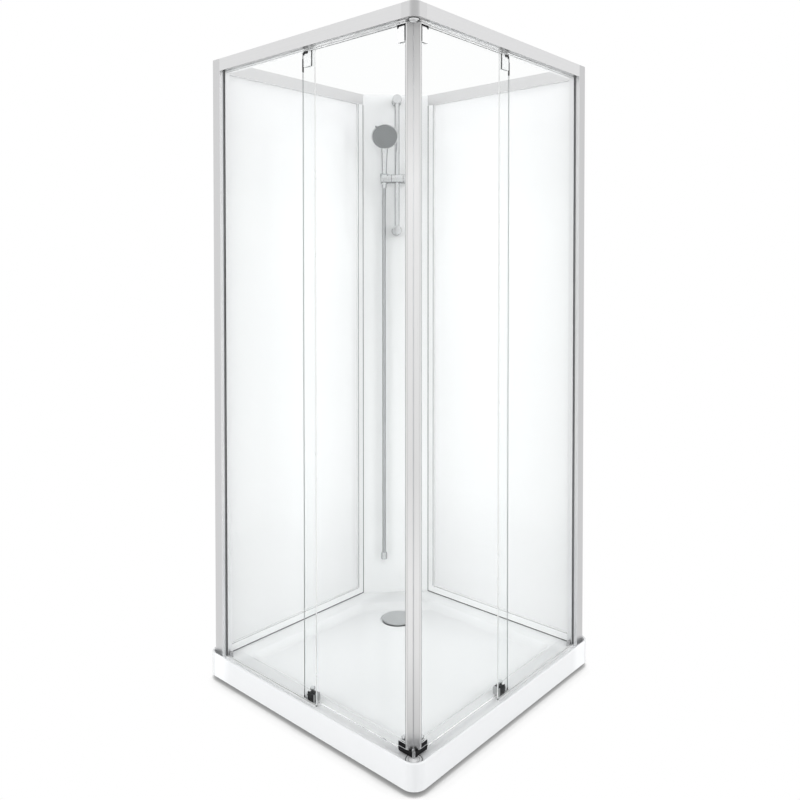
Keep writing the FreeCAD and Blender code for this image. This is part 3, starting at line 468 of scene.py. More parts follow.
# %% [markdown]
# Shared surface patterns
#
# Drawn aluminium carries fine lines along its length, and everything that is moulded or lacquered varies a
# little in tone and gloss. Both effects are node groups, so each finish places them with its own values.
# The lines are a noise stretched along one direction of the Object coordinates; the second effect is a wide
# soft cloud with a fine grain.

# %% Patterns
SOCKET_KINDS = {1: "NodeSocketFloat", 3: "NodeSocketVector", 4: "NodeSocketColor"}
PLAIN = (0.8, 0.8, 0.8, 1)


def new_group(name, outputs, **inputs):
    """A shader group and its incoming values; every output but Colour is a number."""
    group = bpy.data.node_groups.new(name, "ShaderNodeTree")
    for label, value in inputs.items():
        kind = SOCKET_KINDS[np.size(value)]
        group.interface.new_socket(label, in_out="INPUT", socket_type=kind).default_value = value
    for label in outputs:
        kind = SOCKET_KINDS[4 if label == "Colour" else 1]
        group.interface.new_socket(label, in_out="OUTPUT", socket_type=kind)
    return group, group.nodes.new("NodeGroupInput").outputs


def give(group, **results):
    """Links results to the outputs of a group."""
    out = group.nodes.new("NodeGroupOutput").inputs
    for label, socket in results.items():
        group.links.new(socket, out[label])


def varied(group, value, pattern, gloss, height):
    """Scales colour by 1 - Depth to 1 + Depth and roughness by 1 - gloss to 1 + gloss, as a pattern goes."""
    less, more = (calc(group, way, 1.0, value["Depth"]) for way in ("SUBTRACT", "ADD"))
    colour = tinted(group, value["Colour"], remap(group, pattern, less, more))
    dull = calc(group, "MULTIPLY", value["Roughness"], remap(group, pattern, 1 - gloss, 1 + gloss))
    give(group, Colour=colour, Roughness=dull, Height=height)


PATTERN = ("Colour", "Roughness", "Height")
drawn, value = new_group("drawn_lines", PATTERN, Colour=PLAIN, Stretch=(900, 900, 6), Depth=0.05,
                         Roughness=0.35)
spot = add(drawn, "TexCoord").outputs["Object"]
scaled = add(drawn, "VectorMath", {0: spot, 1: value["Stretch"]}, operation="MULTIPLY").outputs[0]
lines = add(drawn, "TexNoise", {"Vector": scaled, "Scale": 1.0, "Detail": 3.0, "Roughness": 0.6}).outputs[0]
varied(drawn, value, lines, 0.2, lines)

cloud, value = new_group("soft_cloud", PATTERN, Colour=PLAIN, Size=3.0, Depth=0.02, Roughness=0.3,
                         Grain=700.0)
spot = add(cloud, "TexCoord").outputs["Object"]
noises = [{"Vector": spot, "Scale": value["Size"], "Detail": 2.0, "Roughness": 0.5},
          {"Vector": spot, "Scale": value["Grain"], "Detail": 2.0, "Roughness": 0.6}]
wide, fine = (add(cloud, "TexNoise", noise).outputs[0] for noise in noises)
varied(cloud, value, wide, 0.25, fine)
print("patterns: drawn_lines and soft_cloud")

# %% [markdown]
# Shared tones of painted light and shade
#
# This studio is white all round, so the light and shade that a real room adds to a surface are painted onto
# its colour. One group paints light or shade on the faces that look to one side, such as the undersides of
# the rails, which in a room would take up the light of the white tray. One is a painted reflection for the
# slim
# chromed parts in the corner: the room's darker sides are painted as lines along their edges, where the
# surface points sideways or down. The others paint light and shade in steps along a length: painted shade at
# both ends of the grips, which mirror the dim ends of the room, painted shade on the walls near the tray and
# on the corner panel towards its top, and on the tray painted light in the gutter just inside the lip,
# painted shade on the ledge and basin edge further in, and painted light on the ledge at the rear.

# %% Tones: painted light and shade
# Painted light or shade on the faces that look to one side.
under, value = new_group("side_light", ["Colour"], Colour=PLAIN, Depth=0.3, Side=(0.0, 0.0, -1.0), Start=0.0)
toward = dot(under, add(under, "NewGeometry").outputs["Normal"], value["Side"])
share = remap(under, toward, 0.0, 1.0, start=value["Start"], kind="SMOOTHSTEP")
give(under, Colour=tinted(under, value["Colour"], calc(under, "MULTIPLY_ADD", share, value["Depth"], 1.0)))

SIDEWAYS, DOWNWARDS = (0.7071, 0.7071, 0.0), (0.0, 0.0, -0.95)
# Painted reflection: chrome is darkened where its normal points sideways or down, as if dark room sides
# showed in it.
tone, value = new_group("painted_edge_reflection", ["Colour"], Colour=PLAIN, Depth=0.6)
normal = add(tone, "NewGeometry").outputs["Normal"]
aside = calc(tone, "ABSOLUTE", dot(tone, normal, SIDEWAYS))
most = calc(tone, "MAXIMUM", aside, dot(tone, normal, DOWNWARDS))
least = calc(tone, "SUBTRACT", 1.0, value["Depth"])
dim = remap(tone, most, 1.0, least, start=0.50, end=0.97, kind="SMOOTHSTEP")
give(tone, Colour=tinted(tone, value["Colour"], dim))


def from_edges(tree, plain, other):
    """The distance from the nearer of two edges: HALF less the larger of one length and minus the other."""
    nearer = calc(tree, "MAXIMUM", plain, calc(tree, "MULTIPLY", other, -1.0))
    return calc(tree, "SUBTRACT", HALF, nearer)


def stepped(name, stops, span, edges=""):
    """A group that scales its colour by (metres, gain) stops over the height or the way in from two edges."""
    group, value = new_group(name, ["Colour"], Colour=PLAIN)
    parts = add(group, "SeparateXYZ", {0: add(group, "TexCoord").outputs["Object"]}).outputs
    length = from_edges(group, *[parts[axis] for axis in edges]) if edges else parts["Z"]
    share = remap(group, length, 0.0, 1.0, end=span)
    gain = grey_ramp(group, share, [(at / span, grey) for at, grey in stops])
    give(group, Colour=tinted(group, value["Colour"], gain))
    return group


CABIN_HIGH, LEDGE_WIDE = 2.0, 0.14
# Painted shade at both ends of the grip slopes and magnetic strips, with painted lighter bands between.
grip_painted_shading = stepped("grip_painted_shading", [
    (0.10, 0.72), (0.34, 1.0), (0.54, 1.05), (0.80, 0.95), (1.56, 1.10), (1.76, 0.92),
    (1.95, 0.60)], CABIN_HIGH)
# Painted light on the tray's ledge at the rear.
tray_rear_painted_light = stepped("tray_rear_painted_light", [
    (0.0, 1.0), (0.040, 1.0), (0.044, 1.14), (0.088, 1.13), (0.104, 1.06), (0.122, 1.0)], LEDGE_WIDE, "YX")
# Painted light in the gutter just inside the tray's lip, painted shade on the ledge and basin edge further
# in.
tray_front_painted_shading = stepped("tray_front_painted_shading", [
    (0.0, 1.0), (0.004, 1.0), (0.0115, 0.96), (0.013, 1.0), (0.015, 1.10), (0.030, 1.08), (0.046, 0.87),
    (0.091, 0.87), (0.094, 0.93), (0.113, 0.95), (0.118, 0.97)], LEDGE_WIDE, "XY")
# Painted shade on the walls, darker towards the tray.
wall_painted_shade = stepped("wall_painted_shade", [
    (0.10, 0.93), (0.28, 0.937), (0.375, 0.952), (0.46, 0.97), (0.56, 0.985), (0.68, 0.992)], CABIN_HIGH)
# Painted shade on the corner panel, darker towards its top.
corner_painted_shade = stepped("corner_painted_shade", [
    (0.10, 1.0), (0.9, 1.0), (1.3, 0.95), (1.6, 0.90), (1.95, 0.89)], CABIN_HIGH)
print("tones: side_light, painted_edge_reflection and five that change in steps")

# %% [markdown]
# Finishes
#
# One function joins a pattern to a Principled shader, with the pattern's height as a very shallow bump, and
# puts the tones of painted light and shade between them. What is the same all over a finish, such as its
# metal share or its coat, is a plain number on the shader.

# %% Finish builder
BUMP_DEEP = 0.0002
COAT_ROUGH = 0.05


def finish(name, colour, roughness, size, depth, metal=0.0, coat=0.0, bump=0.02, specular=0.5, shade=0.0,
           lift=0.0, side=(0.0, 0.0, -1.0), start=0.0, along=()):
    """A material; size is a stretch on three axes for drawn lines or one number for soft clouds."""
    material, tree = new_material(name)
    group, scale = (drawn, "Stretch") if np.size(size) == 3 else (cloud, "Size")
    look = {"Colour": (*colour, 1), "Roughness": roughness, "Depth": depth, scale: size}
    source = add(tree, "Group", look, node_tree=group).outputs
    tones = [(tone, {"Depth": shade})] if shade else []
    tones += [(under, {"Depth": lift, "Side": side, "Start": start})] if lift else []
    tones += [(bands, {}) for bands in along]
    toned = source["Colour"]
    for effect, values in tones:
        toned = add(tree, "Group", {"Colour": toned, **values}, node_tree=effect).outputs["Colour"]
    bumps = {"Height": source["Height"], "Strength": bump, "Distance": BUMP_DEEP}
    relief = add(tree, "Bump", bumps).outputs[0]
    shader = add(tree, "BsdfPrincipled", {
        "Base Color": toned, "Roughness": source["Roughness"], "Normal": relief, "Metallic": metal,
        "Coat Weight": coat, "Coat Roughness": COAT_ROUGH, "Specular IOR Level": specular})
    add(tree, "OutputMaterial", {"Surface": shader.outputs[0]})
    return material


print("finish builder")

# %% [markdown]
# Metals
#
# The frame is satin silver, the fittings are chromed, and the carrying frame is zinc. A bar's lines run
# along its length, so bars in different directions have finishes of their own. The colours are those of the
# real pieces in white light, with painted light and shade laid on some: the right post is a painted darker
# copy of the left one's silver, some faces are painted lighter or darker by the side they look to, and the
# slim chrome parts carry painted reflections along their edges.

# %% Metal finishes
SILVER, PALE_SILVER = (0.76, 0.76, 0.765), (0.985, 0.988, 0.99)
UP_LINES, FINE_LINES, X_LINES, Y_LINES = (700, 700, 5), (900, 900, 4), (5, 700, 700), (700, 5, 700)
# The posts share one silver: the right one is painted darker as its shaded copy, and both have painted light
# on the faces that look to one side.
left_post_silver = finish("silver_post_left", (0.66, 0.66, 0.665), 0.36, UP_LINES, 0.05, metal=1.0,
                          lift=0.4, side=X)
right_post_silver = finish("silver_post_right", (0.61, 0.61, 0.615), 0.36, UP_LINES, 0.05, metal=1.0,
                           lift=0.42, side=-Y)
stile_silver = finish("silver_stile", PALE_SILVER, 0.40, UP_LINES, 0.03, metal=0.2)
foot_silver = finish("silver_foot", PALE_SILVER, 0.40, 40, 0.02, metal=0.2, bump=0.01)
# Painted light on the undersides of the rails.
left_silver = finish("silver_left", SILVER, 0.36, X_LINES, 0.05, metal=1.0, lift=0.3)
right_silver = finish("silver_right", SILVER, 0.36, Y_LINES, 0.05, metal=1.0, lift=0.3)
# Painted shade on the joint's rounded front corner, where its faces look out of the cabin.
joint_silver = finish("silver_joint", (0.72, 0.72, 0.725), 0.42, 60, 0.02, metal=1.0, lift=-0.30,
                      side=(0.7071, -0.7071, 0.0), start=0.74)
# Painted shade under the rails' front flange and painted light on the rest of their undersides.
rail_shade = finish("rail_shade", (0.54, 0.54, 0.545), 0.36, 40, 0.03, metal=1.0, bump=0.01)
rail_painted_light = finish("rail_painted_light", (0.985, 0.985, 0.985), 0.18, 40, 0.02, metal=1.0, bump=0.01)
# The slopes are a lighter copy of the grip's silver and carry painted shade at their ends.
grip_silver = finish("silver_grip", (0.74, 0.74, 0.74), 0.30, FINE_LINES, 0.06, metal=1.0)
slope_silver = finish("silver_slope", (0.78, 0.78, 0.78), 0.30, FINE_LINES, 0.06, metal=1.0,
                      along=[grip_painted_shading])
chrome = finish("chrome", (0.78, 0.79, 0.80), 0.08, 20, 0.02, metal=1.0, bump=0.0)
pale_chrome = finish("chrome_pale", (0.95, 0.95, 0.955), 0.12, 30, 0.02, metal=0.7, bump=0.0)
# Painted reflection on these two chromes: darker where the surface points sideways or down.
edged_chrome = finish("chrome_edged", (0.70, 0.71, 0.72), 0.14, 20, 0.02, metal=1.0, bump=0.0, shade=0.62)
handset_chrome = finish("chrome_handset", (0.73, 0.74, 0.75), 0.16, 25, 0.02, metal=1.0, bump=0.0, shade=0.68)
dull_chrome = finish("chrome_dull", (0.57, 0.58, 0.585), 0.34, 30, 0.03, metal=1.0, bump=0.03)
bright_white = finish("chrome_white", (0.96, 0.96, 0.965), 0.14, 30, 0.02, metal=0.3, bump=0.0)
post_grey = finish("grey_post", (0.46, 0.465, 0.47), 0.3, 30, 0.03, metal=0.8, bump=0.01)
zinc = finish("zinc_steel", (0.52, 0.53, 0.54), 0.42, 45, 0.16, metal=1.0, bump=0.08)
print("metals done, materials so far:", len(bpy.data.materials))

# %% [markdown]
# Whites, plastics and seals
#
# Tray and walls are bright white acrylic under a thin clear coat, on which the stepped tones lay painted
# light and shade. Seals, seams, shoes and rollers are plastics and rubbers of several greys, the darkest
# seams also standing in for the shade of their gaps, and the ground edges of the glass are pale or deep
# strips.

# %% Other finishes
# Painted light and shade on the tray: lighter just inside the lip, darker on the ledge further in, lighter at
# the rear.
acrylic = finish("white_acrylic", (0.852, 0.858, 0.866), 0.16, 2.5, 0.01, coat=0.3, bump=0.008,
                 along=[tray_front_painted_shading, tray_rear_painted_light])
# Painted shade on the walls towards the tray.
wall_white = finish("white_wall", (0.962, 0.963, 0.970), 0.10, 1.6, 0.01, coat=0.3, bump=0.004,
                    along=[wall_painted_shade])
# Painted shade on the corner panel towards its top.
corner_white = finish("white_corner", (0.965, 0.972, 0.976), 0.12, 1.6, 0.012, coat=0.3, bump=0.004,
                      along=[corner_painted_shade])
edge_pale = finish("glass_edge_pale", (0.97, 0.98, 0.975), 0.4, 90, 0.04, metal=0.5)
edge_clear = finish("glass_edge_clear", (0.99, 0.995, 0.992), 0.3, 90, 0.02, metal=1.0)
edge_deep = finish("glass_edge_deep", (0.70, 0.72, 0.72), 0.4, 90, 0.04)
black = finish("black_plastic", (0.008, 0.008, 0.009), 0.30, 40, 0.15, bump=0.06, specular=0.12)
rubber = finish("black_rubber", (0.03, 0.031, 0.033), 0.62, 60, 0.15, bump=0.08, specular=0.3)
seal_pale = finish("seal_pale", (0.88, 0.88, 0.89), 0.4, 40, 0.04, bump=0.04)
seam_grey = finish("seam_grey", (0.34, 0.345, 0.35), 0.5, 40, 0.06, bump=0.04)
# Near black for the seams along the tray and the corner, which also stand in for the shade in those gaps.
seam_dark_and_gap_shade = finish("seam_dark_and_gap_shade", (0.06, 0.061, 0.063), 0.5, 40, 0.06, bump=0.04)
lip_grey = finish("lip_grey", (0.17, 0.172, 0.176), 0.5, 40, 0.06, bump=0.04)
brush_pale = finish("brush_pale", (0.95, 0.95, 0.95), 0.5, 40, 0.06, metal=0.7, bump=0.1)
grey_rubber = finish("grey_rubber", (0.40, 0.40, 0.41), 0.5, 50, 0.08, bump=0.06)
# Painted shade at the ends of the magnetic strips, as on the grip slopes.
magnet_white = finish("magnet_strip", (0.61, 0.61, 0.62), 0.45, 40, 0.05, bump=0.05, along=[grip_painted_shading])
spray_grey = finish("spray_grey", (0.24, 0.25, 0.255), 0.38, 60, 0.05, bump=0.05)
nozzle_grey = finish("nozzle_grey", (0.46, 0.47, 0.475), 0.5, 90, 0.05, bump=0.04)
pipe_white = finish("pipe_plastic", (0.78, 0.78, 0.77), 0.38, 25, 0.03, bump=0.04)
roller_white = finish("roller_plastic", (0.74, 0.74, 0.72), 0.4, 70, 0.05, bump=0.04)
# Painted reflection: the hose is darkened along its sides.
hose_silver = finish("hose_silver", (0.47, 0.48, 0.492), 0.24, 40, 0.04, metal=0.5, coat=0.4, shade=0.5)
print("all finishes done, materials so far:", len(bpy.data.materials))

# %% [markdown]
# Clear glass
#
# The panes are 5 mm safety glass: almost without colour through the flat, and grey-green along the cut
# edges, where the eye looks through a long way of glass. One clear shader does both, with a darker tint
# where the surface normal points along the pane instead of out of it. Shadow rays pass straight through,
# because real panes hardly shade.

# %% Glass
GLASS_FLAT = (0.985, 0.992, 0.990, 1)
GLASS_SHADOW = (0.97, 0.98, 0.975, 1)
GLASS_IOR = 1.2
PANE_CUT, DOOR_CUT = (0.975, 0.985, 0.98, 1), (0.84, 0.86, 0.86, 1)


def pane_glass(name, axis, cut):
    """Clear glass whose cut edges have their own tint; axis is the direction out of the pane."""
    material, tree = new_material(name)
    normal = add(tree, "NewGeometry").outputs["True Normal"]
    out_of = calc(tree, "ABSOLUTE", add(tree, "SeparateXYZ", {0: normal}).outputs[axis])
    tints = {"Factor": calc(tree, "LESS_THAN", out_of, 0.5), "A": GLASS_FLAT, "B": cut}
    tint = add(tree, "Mix", tints, data_type="RGBA").outputs["Result"]
    shader = add(tree, "BsdfPrincipled", {"Base Color": tint, "Roughness": 0.0, "IOR": GLASS_IOR,
                                          "Transmission Weight": 1.0}).outputs[0]
    clear = add(tree, "BsdfTransparent", {"Color": GLASS_SHADOW}).outputs[0]
    shadow = add(tree, "LightPath").outputs["Is Shadow Ray"]
    mix = add(tree, "MixShader", {"Fac": shadow, 1: shader, 2: clear}).outputs[0]
    add(tree, "OutputMaterial", {"Surface": mix})
    return material


def dress(material, *names):
    """Gives CAD nodes that keep their own shape a finish."""
    for name in names:
        node = nodes[name]
        if not node.material_slots:
            node.data.materials.append(material)
        for place in node.material_slots:
            place.material = material


for side, axis in zip(SIDES, "YX"):
    dress(pane_glass("glass_pane_" + side, axis, PANE_CUT), side + "_fixed_pane")
    dress(pane_glass("glass_door_" + side, axis, DOOR_CUT), side + "_door_glass")
dress(wall_white, "left_wall_panel", "right_wall_panel")
dress(corner_white, "corner_panel")
print("glass and white panels dressed")

# %% [markdown]
# The hose
#
# A smooth plastic hose leaves the cone under the handset, bends to plumb within a hand's width and hangs
# straight to its free nut. Its line is a NURBS curve whose control points lie on the solid's route: the
# cone, the corner of the bend, a point as far below that corner, and the nut. So it bends as a hose does and
# not as wire. The tube is a circle carried along the points that Blender reads from that curve.

# %% Hose
HOSE_ROUTE = np.array([
    [-0.32015, 0.25707, 1.63717],
    [-0.33371, 0.27063, 1.58447],
    [-0.33371, 0.27063, 1.52840],
    [-0.33371, 0.27063, 0.23600],
])
HOSE_PLUMB = HOSE_ROUTE[-1][:2]
HOSE_RADIUS, HOSE_LENGTH, HOSE_BLEND = 0.007, 1.404, 1.55


def nurbs_line(route, steps=24):
    """Points along a clamped NURBS curve of order 3 with the route as its control points."""
    data = bpy.data.curves.new("route", "CURVE")
    data.dimensions = "3D"
    spline = data.splines.new("NURBS")
    spline.points.add(len(route) - 1)
    spline.points.foreach_set("co", np.column_stack([route, np.ones(len(route))]).ravel())
    spline.order_u = 3
    spline.use_endpoint_u = True
    spline.resolution_u = steps
    item = bpy.data.objects.new("route", data)
    mesh = bpy.data.meshes.new_from_object(item)
    line = np.zeros(len(mesh.vertices) * 3)
    mesh.vertices.foreach_get("co", line)
    bpy.data.objects.remove(item)
    bpy.data.curves.remove(data)
    bpy.data.meshes.remove(mesh)
    return line.reshape(-1, 3)


def tube(line, radius, count=24):
    """Rings of a circle carried along a line that stays in an upright plane square to ACROSS."""
    run = np.gradient(line, axis=0)
    run /= np.linalg.norm(run, axis=1, keepdims=True)
    other = np.cross(run, ACROSS)
    angle = np.linspace(0, 2 * np.pi, count, endpoint=False)[None, :, None]
    return line[:, None] + radius * (np.cos(angle) * ACROSS + np.sin(angle) * other[:, None])


hose_line = nurbs_line(HOSE_ROUTE)
hose = smooth_mesh("hose", skin(tube(hose_line, HOSE_RADIUS)), hose_silver, sharp=40)
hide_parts("shower_hose")
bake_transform(hose)
hose_run = np.linalg.norm(np.diff(hose_line, axis=0), axis=1).sum()
print("hose: %.3f m on %d points" % (hose_run, len(hose_line)))

# %% [markdown]
# End nut
#
# The free end of the hose carries a union nut with fluted sides. Its flutes are a cosine wave on the
# radius, and its lower end is open for the thread.

# %% End nut
NUT_FLUTES = 14
NUT_ROWS = [(9.3, 223, 0), (9.3, 209, 0), (10.6, 209, 0), (11.1, 210, 0.2), (11.1, 229, 0.4),
            (10.6, 231, 0.1), (9.2, 235.6, 0), (8.6, 236, 0), (7.05, 236, 0), (7.05, 223, 0)]
nut_axis = framed(np.array([*HOSE_PLUMB, 0.0]), ACROSS, OUT, UP)
nut = skin(fluted(NUT_ROWS, NUT_FLUTES, nut_axis), ends=False, wrap=True)
end_nut = make("end_nut_fluted", nut, "slider", edged_chrome, "hose_end_nut")
print("end nut on the hose")

# %% [markdown]
# Posts and top rails
#
# The frame is drawn aluminium: one profile, the same all along a bar, cut square at its ends. A bar is its
# rounded outline carried from one end to the other, with a small bevel at the cuts, and the bevels of two
# bars that meet are what shows as a seam. The left half is built and mirrored. Outlines are given in
# millimetres from the tray's edge. Some faces of a bar look to another part of the room, so they take a
# second finish of painted light or painted shade: the underside of a rail's front flange is painted darker
# and the rest of its underside painted lighter.

# %% Posts and rails
LEDGE, TOP, RAIL_FOOT = 68, 2000, 1961
RAIL_SLOT, LOOKS_DOWN = 0.0335, -0.7
at_corner, by_front, by_wall, by_stile = upright(-HALF, -HALF), along_x(-HALF), along_y(-HALF), upright(-HALF)


def faces_of(name):
    """The middles and the normals of an object's faces."""
    polygons = bpy.data.objects[name].data.polygons
    middles, normals = np.zeros((2, len(polygons) * 3))
    polygons.foreach_get("center", middles)
    polygons.foreach_get("normal", normals)
    return middles.reshape(-1, 3), normals.reshape(-1, 3)


def second_finish(name, material, marked):
    """Gives another finish to the marked faces of an object."""
    mesh = bpy.data.objects[name].data
    order = np.zeros(len(mesh.polygons), np.int32)
    mesh.polygons.foreach_get("material_index", order)
    order[marked] = len(mesh.materials)
    mesh.materials.append(material)
    mesh.polygons.foreach_set("material_index", order)


def behind_front(side, spots):
    """The distance of spots from the front edge of the tray on their side."""
    return HALF + spots[:, 1] if side == "left" else HALF - spots[:, 0]


def rail_bar(corners, radii, low, high):
    """A bar along the left front, its outline measured from the underside of the top rail."""
    return bar(np.array(corners) + (0, RAIL_FOOT), radii, low, high, 0.3, by_front)


post = bar([(19, 19), (57, 19), (57, 32), (45, 32), (45, 42), (57, 42), (57, 59), (34, 59), (34, 49),
            (28, 49), (28, 59), (19, 59)], [2, 1, 0.6, 0.3, 0.3, 0.6, 0.8, 0.6, 0.3, 0.3, 0.6, 0.8],
           LEDGE, TOP, 0.6, at_corner)
make_pair("post_profile", post, "cabin", (left_post_silver, right_post_silver), "post")

rail = rail_bar([(19, 0), (19, 39), (65, 39), (65, 0), (53.5, 0), (53.5, 4), (62, 4), (62, 36), (44.5, 36),
                 (44.5, 0), (41, 0), (41, 14), (33, 14), (33, 0)],
                [1, 1, 1, 0.8, 0.6, 0.6, 0.3, 0.3, 0.3, 0.6, 0.6, 0.3, 0.3, 0.6], -393, 385)
cover = rail_bar(box(33.2, 40.8, 0.4, 2.4), 0.5, 42, 384.5)
make_pair("top_rail_profile", together(rail, cover), "cabin", (left_silver, right_silver),
          "top_rail")
for side in SIDES:
    name = side + "_top_rail_profile"
    middles, normals = faces_of(name)
    below, depth = normals[:, 2] < LOOKS_DOWN, behind_front(side, middles)
    # Painted shade under the front flange and painted light on the rest of the underside.
    second_finish(name, rail_shade, below & (depth < RAIL_SLOT))
    second_finish(name, rail_painted_light, below & (depth > RAIL_SLOT))

strips = [rail_bar(box(a, b, 0.3, 3.2), 0.4, -392, 384.5) for a, b in ((44.5, 48.0), (50.0, 53.5))]
strips += [rail_bar(box(a, b, 0.2, 5), 0.3, -392, 41) for a, b in ((33.1, 34.45), (39.55, 40.9))]
make_pair("slot_brushes", together(*strips), "cabin", brush_pale)
joint = bar(box(385, 431, -431, -385), [0.6, 25, 0.6, 0.6], RAIL_FOOT, TOP, 0.6, upright(), steps=14)
make("corner_joint_block", joint, "cabin", joint_silver, "top_corner_joint")
print("posts, top rails and corner joint")

# %% [markdown]
# Wall frame, sills and seals
#
# Each wall panel sits in the groove of a top bar, a foot bar and a stile. Thin seams along their inner
# faces show as lines. Where the frame meets the tray and the corner, the seam strips are near black: partly a
# dark seal, partly painted shade of the gap there. The fixed panes stand in a low channel, and a pale seal
# with a dark lip holds them in the post.

# %% Wall bars, seams, sills and seals
WALL_START, WALL_END, STILE_IN = -391, 232, 204
SEAL_LIP, UPRIGHT_FACE = 0.035, 0.5


def wall_bar(shut, opened, low, high, place):
    """A flat wall bar with a groove for the panel in its open side."""
    deep = opened + 10 * np.sign(shut - opened)
    corners = [(19, shut), (19, opened), (28, opened), (28, deep), (34, deep), (34, opened), (43, opened),
               (43, shut)]
    return bar(corners, [0.8, 0.8, 0.6, 0.3, 0.3, 0.6, 0.8, 0.8], low, high, 0.6, place)


def seam(low, high, start, end, place):
    """A thin seam on the inner face of a wall bar."""
    return bar(box(42, 43.4, low, high), 0.4, start, end, 0.3, place)


wall_top = wall_bar(TOP, 1960, WALL_START, WALL_END, by_wall)
wall_foot = wall_bar(LEDGE, 96, WALL_START, STILE_IN, by_wall)
stile = wall_bar(WALL_END, STILE_IN, LEDGE, 1960, by_stile)
pale_seams = together(seam(203.8, 206.4, 96.5, 1959.5, by_stile), seam(94.8, 96.0, -390.5, 203.5, by_wall))
# Seams along the tray and the corner: partly dark seal, partly painted shade of the gaps.
dark_seams_and_gap_shade = together(seam(228.9, 231.8, 68.2, 1959.5, by_stile), seam(68.1, 71.4, -390.5, 231.8, by_wall))
make_pair("wall_top_profile", wall_top, "cabin", (right_silver, left_silver),
          "wall_top_rail")
make_pair("wall_foot_profile", wall_foot, "cabin", foot_silver, "wall_bottom_rail")
make_pair("wall_stile_profile", stile, "cabin", stile_silver, "wall_stile")
make_pair("stile_seams", pale_seams, "cabin", seam_grey)
make_pair("foot_seams", dark_seams_and_gap_shade, "cabin", seam_dark_and_gap_shade)

sill = bar([(32, 68), (42, 68), (42, 74), (39.5, 74), (39.5, 71), (34.5, 71), (34.5, 74), (32, 74)],
           [0.4, 0.4, 1, 0.3, 0.3, 0.3, 0.3, 1], -405, 41, 0.5, by_front)
make_pair("pane_sill_profile", sill, "cabin", stile_silver, "pane_sill")
seal = bar([(45, 32), (60, 32), (60, 34.5), (46, 34.5), (46, 39.5), (60, 39.5), (60, 42), (45, 42)],
           [0.3, 1.2, 0.4, 0.3, 0.3, 0.4, 1.2, 0.3], 74, RAIL_FOOT, 0.4, at_corner)
make_pair("pane_seal_profile", seal, "cabin", seal_pale, "pane_seal")
for side in SIDES:
    name = side + "_pane_seal_profile"
    middles, normals = faces_of(name)
    upright_faces = abs(normals[:, 2]) < UPRIGHT_FACE
    second_finish(name, lip_grey, upright_faces & (behind_front(side, middles) < SEAL_LIP))

# %% [markdown]
# The tray
#
# A low tray of white acrylic: a skirt, a raised lip, a flat ledge that carries the frame, and a basin with
# soft edges. It is one skin made of rings, from the drain hole under the tray out to the skirt, up over the
# lip and down again to the drain. The rings at the drain are circles, and all others have five rounded
# corners: the rear corner of the outline counts as two corners of 45 degrees, because the basin inside it is
# cut off by the slanted panel. A notch in the skirt lets the outlet pipe out.

# %% Tray
DRAIN, DRAIN_START = np.array([-0.19, 0.19]), math.radians(215)
SIDE_HALF = 410
NOTCH = np.array([130, 130.5, 249.5, 250])
SIDE_STEPS = np.sort([0.1, 0.2, 0.3, 0.4, 0.5, 0.6, 0.73, 0.9, *((SIDE_HALF + NOTCH) / (2 * SIDE_HALF))])
ARC_STEPS = 8
CORNER_POINTS = ARC_STEPS + 1 + len(SIDE_STEPS)
BASIN_FRONT, BASIN_BACK, BASIN_ROUND, SLANT_GAP = 359, 350, 30, 93
TRAY_HALF, LIP_IN, LIP_TOP, LIP_ROUND, LEDGE_ROUND = 450, 445, 87.5, 3, 2.5
LIP_FOOT = LIP_IN - LIP_ROUND
SKIRT = [(444, 36), (444, 15), (449, 15), (TRAY_HALF, 16)]
NOTCH_STEPS, NOTCH_TOPS = np.array([7, 8, 9]), mm([[35.4], [35.4], [36.2]])
BASIN_FALL = [(-9, 68), (-5, 67.9), (-1, 67.3), (3, 65.2), (20, 50.2), (24, 48.1), (29, 47.2), (35, 47)]
DRAIN_FALL = [(66, 47), (64, 46.8), (62.6, 46.2), (62, 45.2), (62, 42), (45, 42)]


def five_corners(corners, radius, level):
    """A closed ring at one level: five arcs, with the same steps along the runs between them."""
    arcs = rounded(mm(corners), radius * MM, ARC_STEPS).reshape(5, ARC_STEPS + 1, 2)
    run = np.roll(arcs[:, 0], -1, 0) - arcs[:, -1]
    sides = arcs[:, -1][:, None] + SIDE_STEPS[None, :, None] * run[:, None]
    flat = np.concatenate([arcs, sides], 1).reshape(-1, 2)
    return np.column_stack([flat, np.full(len(flat), level * MM)])


def square_ring(half, level):
    """The tray's outline at some half width; the corner radius shrinks with it."""
    r = half - SIDE_HALF
    cut = r * (1 - math.tan(math.pi / 8))
    corners = [(-half, -half), (half, -half), (half, half), (cut - half, half), (-half, half - cut)]
    return five_corners(corners, r, level)


def basin_ring(inward, level):
    """The basin's outline, pulled in from the inner edge of the ledge."""
    front, back = BASIN_FRONT - inward, BASIN_BACK - inward
    slant = 2 * PANEL - math.sqrt(2) * (SLANT_GAP + inward)
    corners = [(-back, -front), (front, -front), (front, back), (back - slant, back), (-back, slant - back)]
    return five_corners(corners, BASIN_ROUND, level)


def drain_ring(radius, level):
    """A circle round the drain that starts in the direction of the first corner."""
    angle = np.linspace(0, 2 * np.pi, 5 * CORNER_POINTS, endpoint=False) + DRAIN_START
    spot = DRAIN + radius * MM * np.stack([np.cos(angle), np.sin(angle)], -1)
    return np.column_stack([spot, np.full(len(angle), level * MM)])


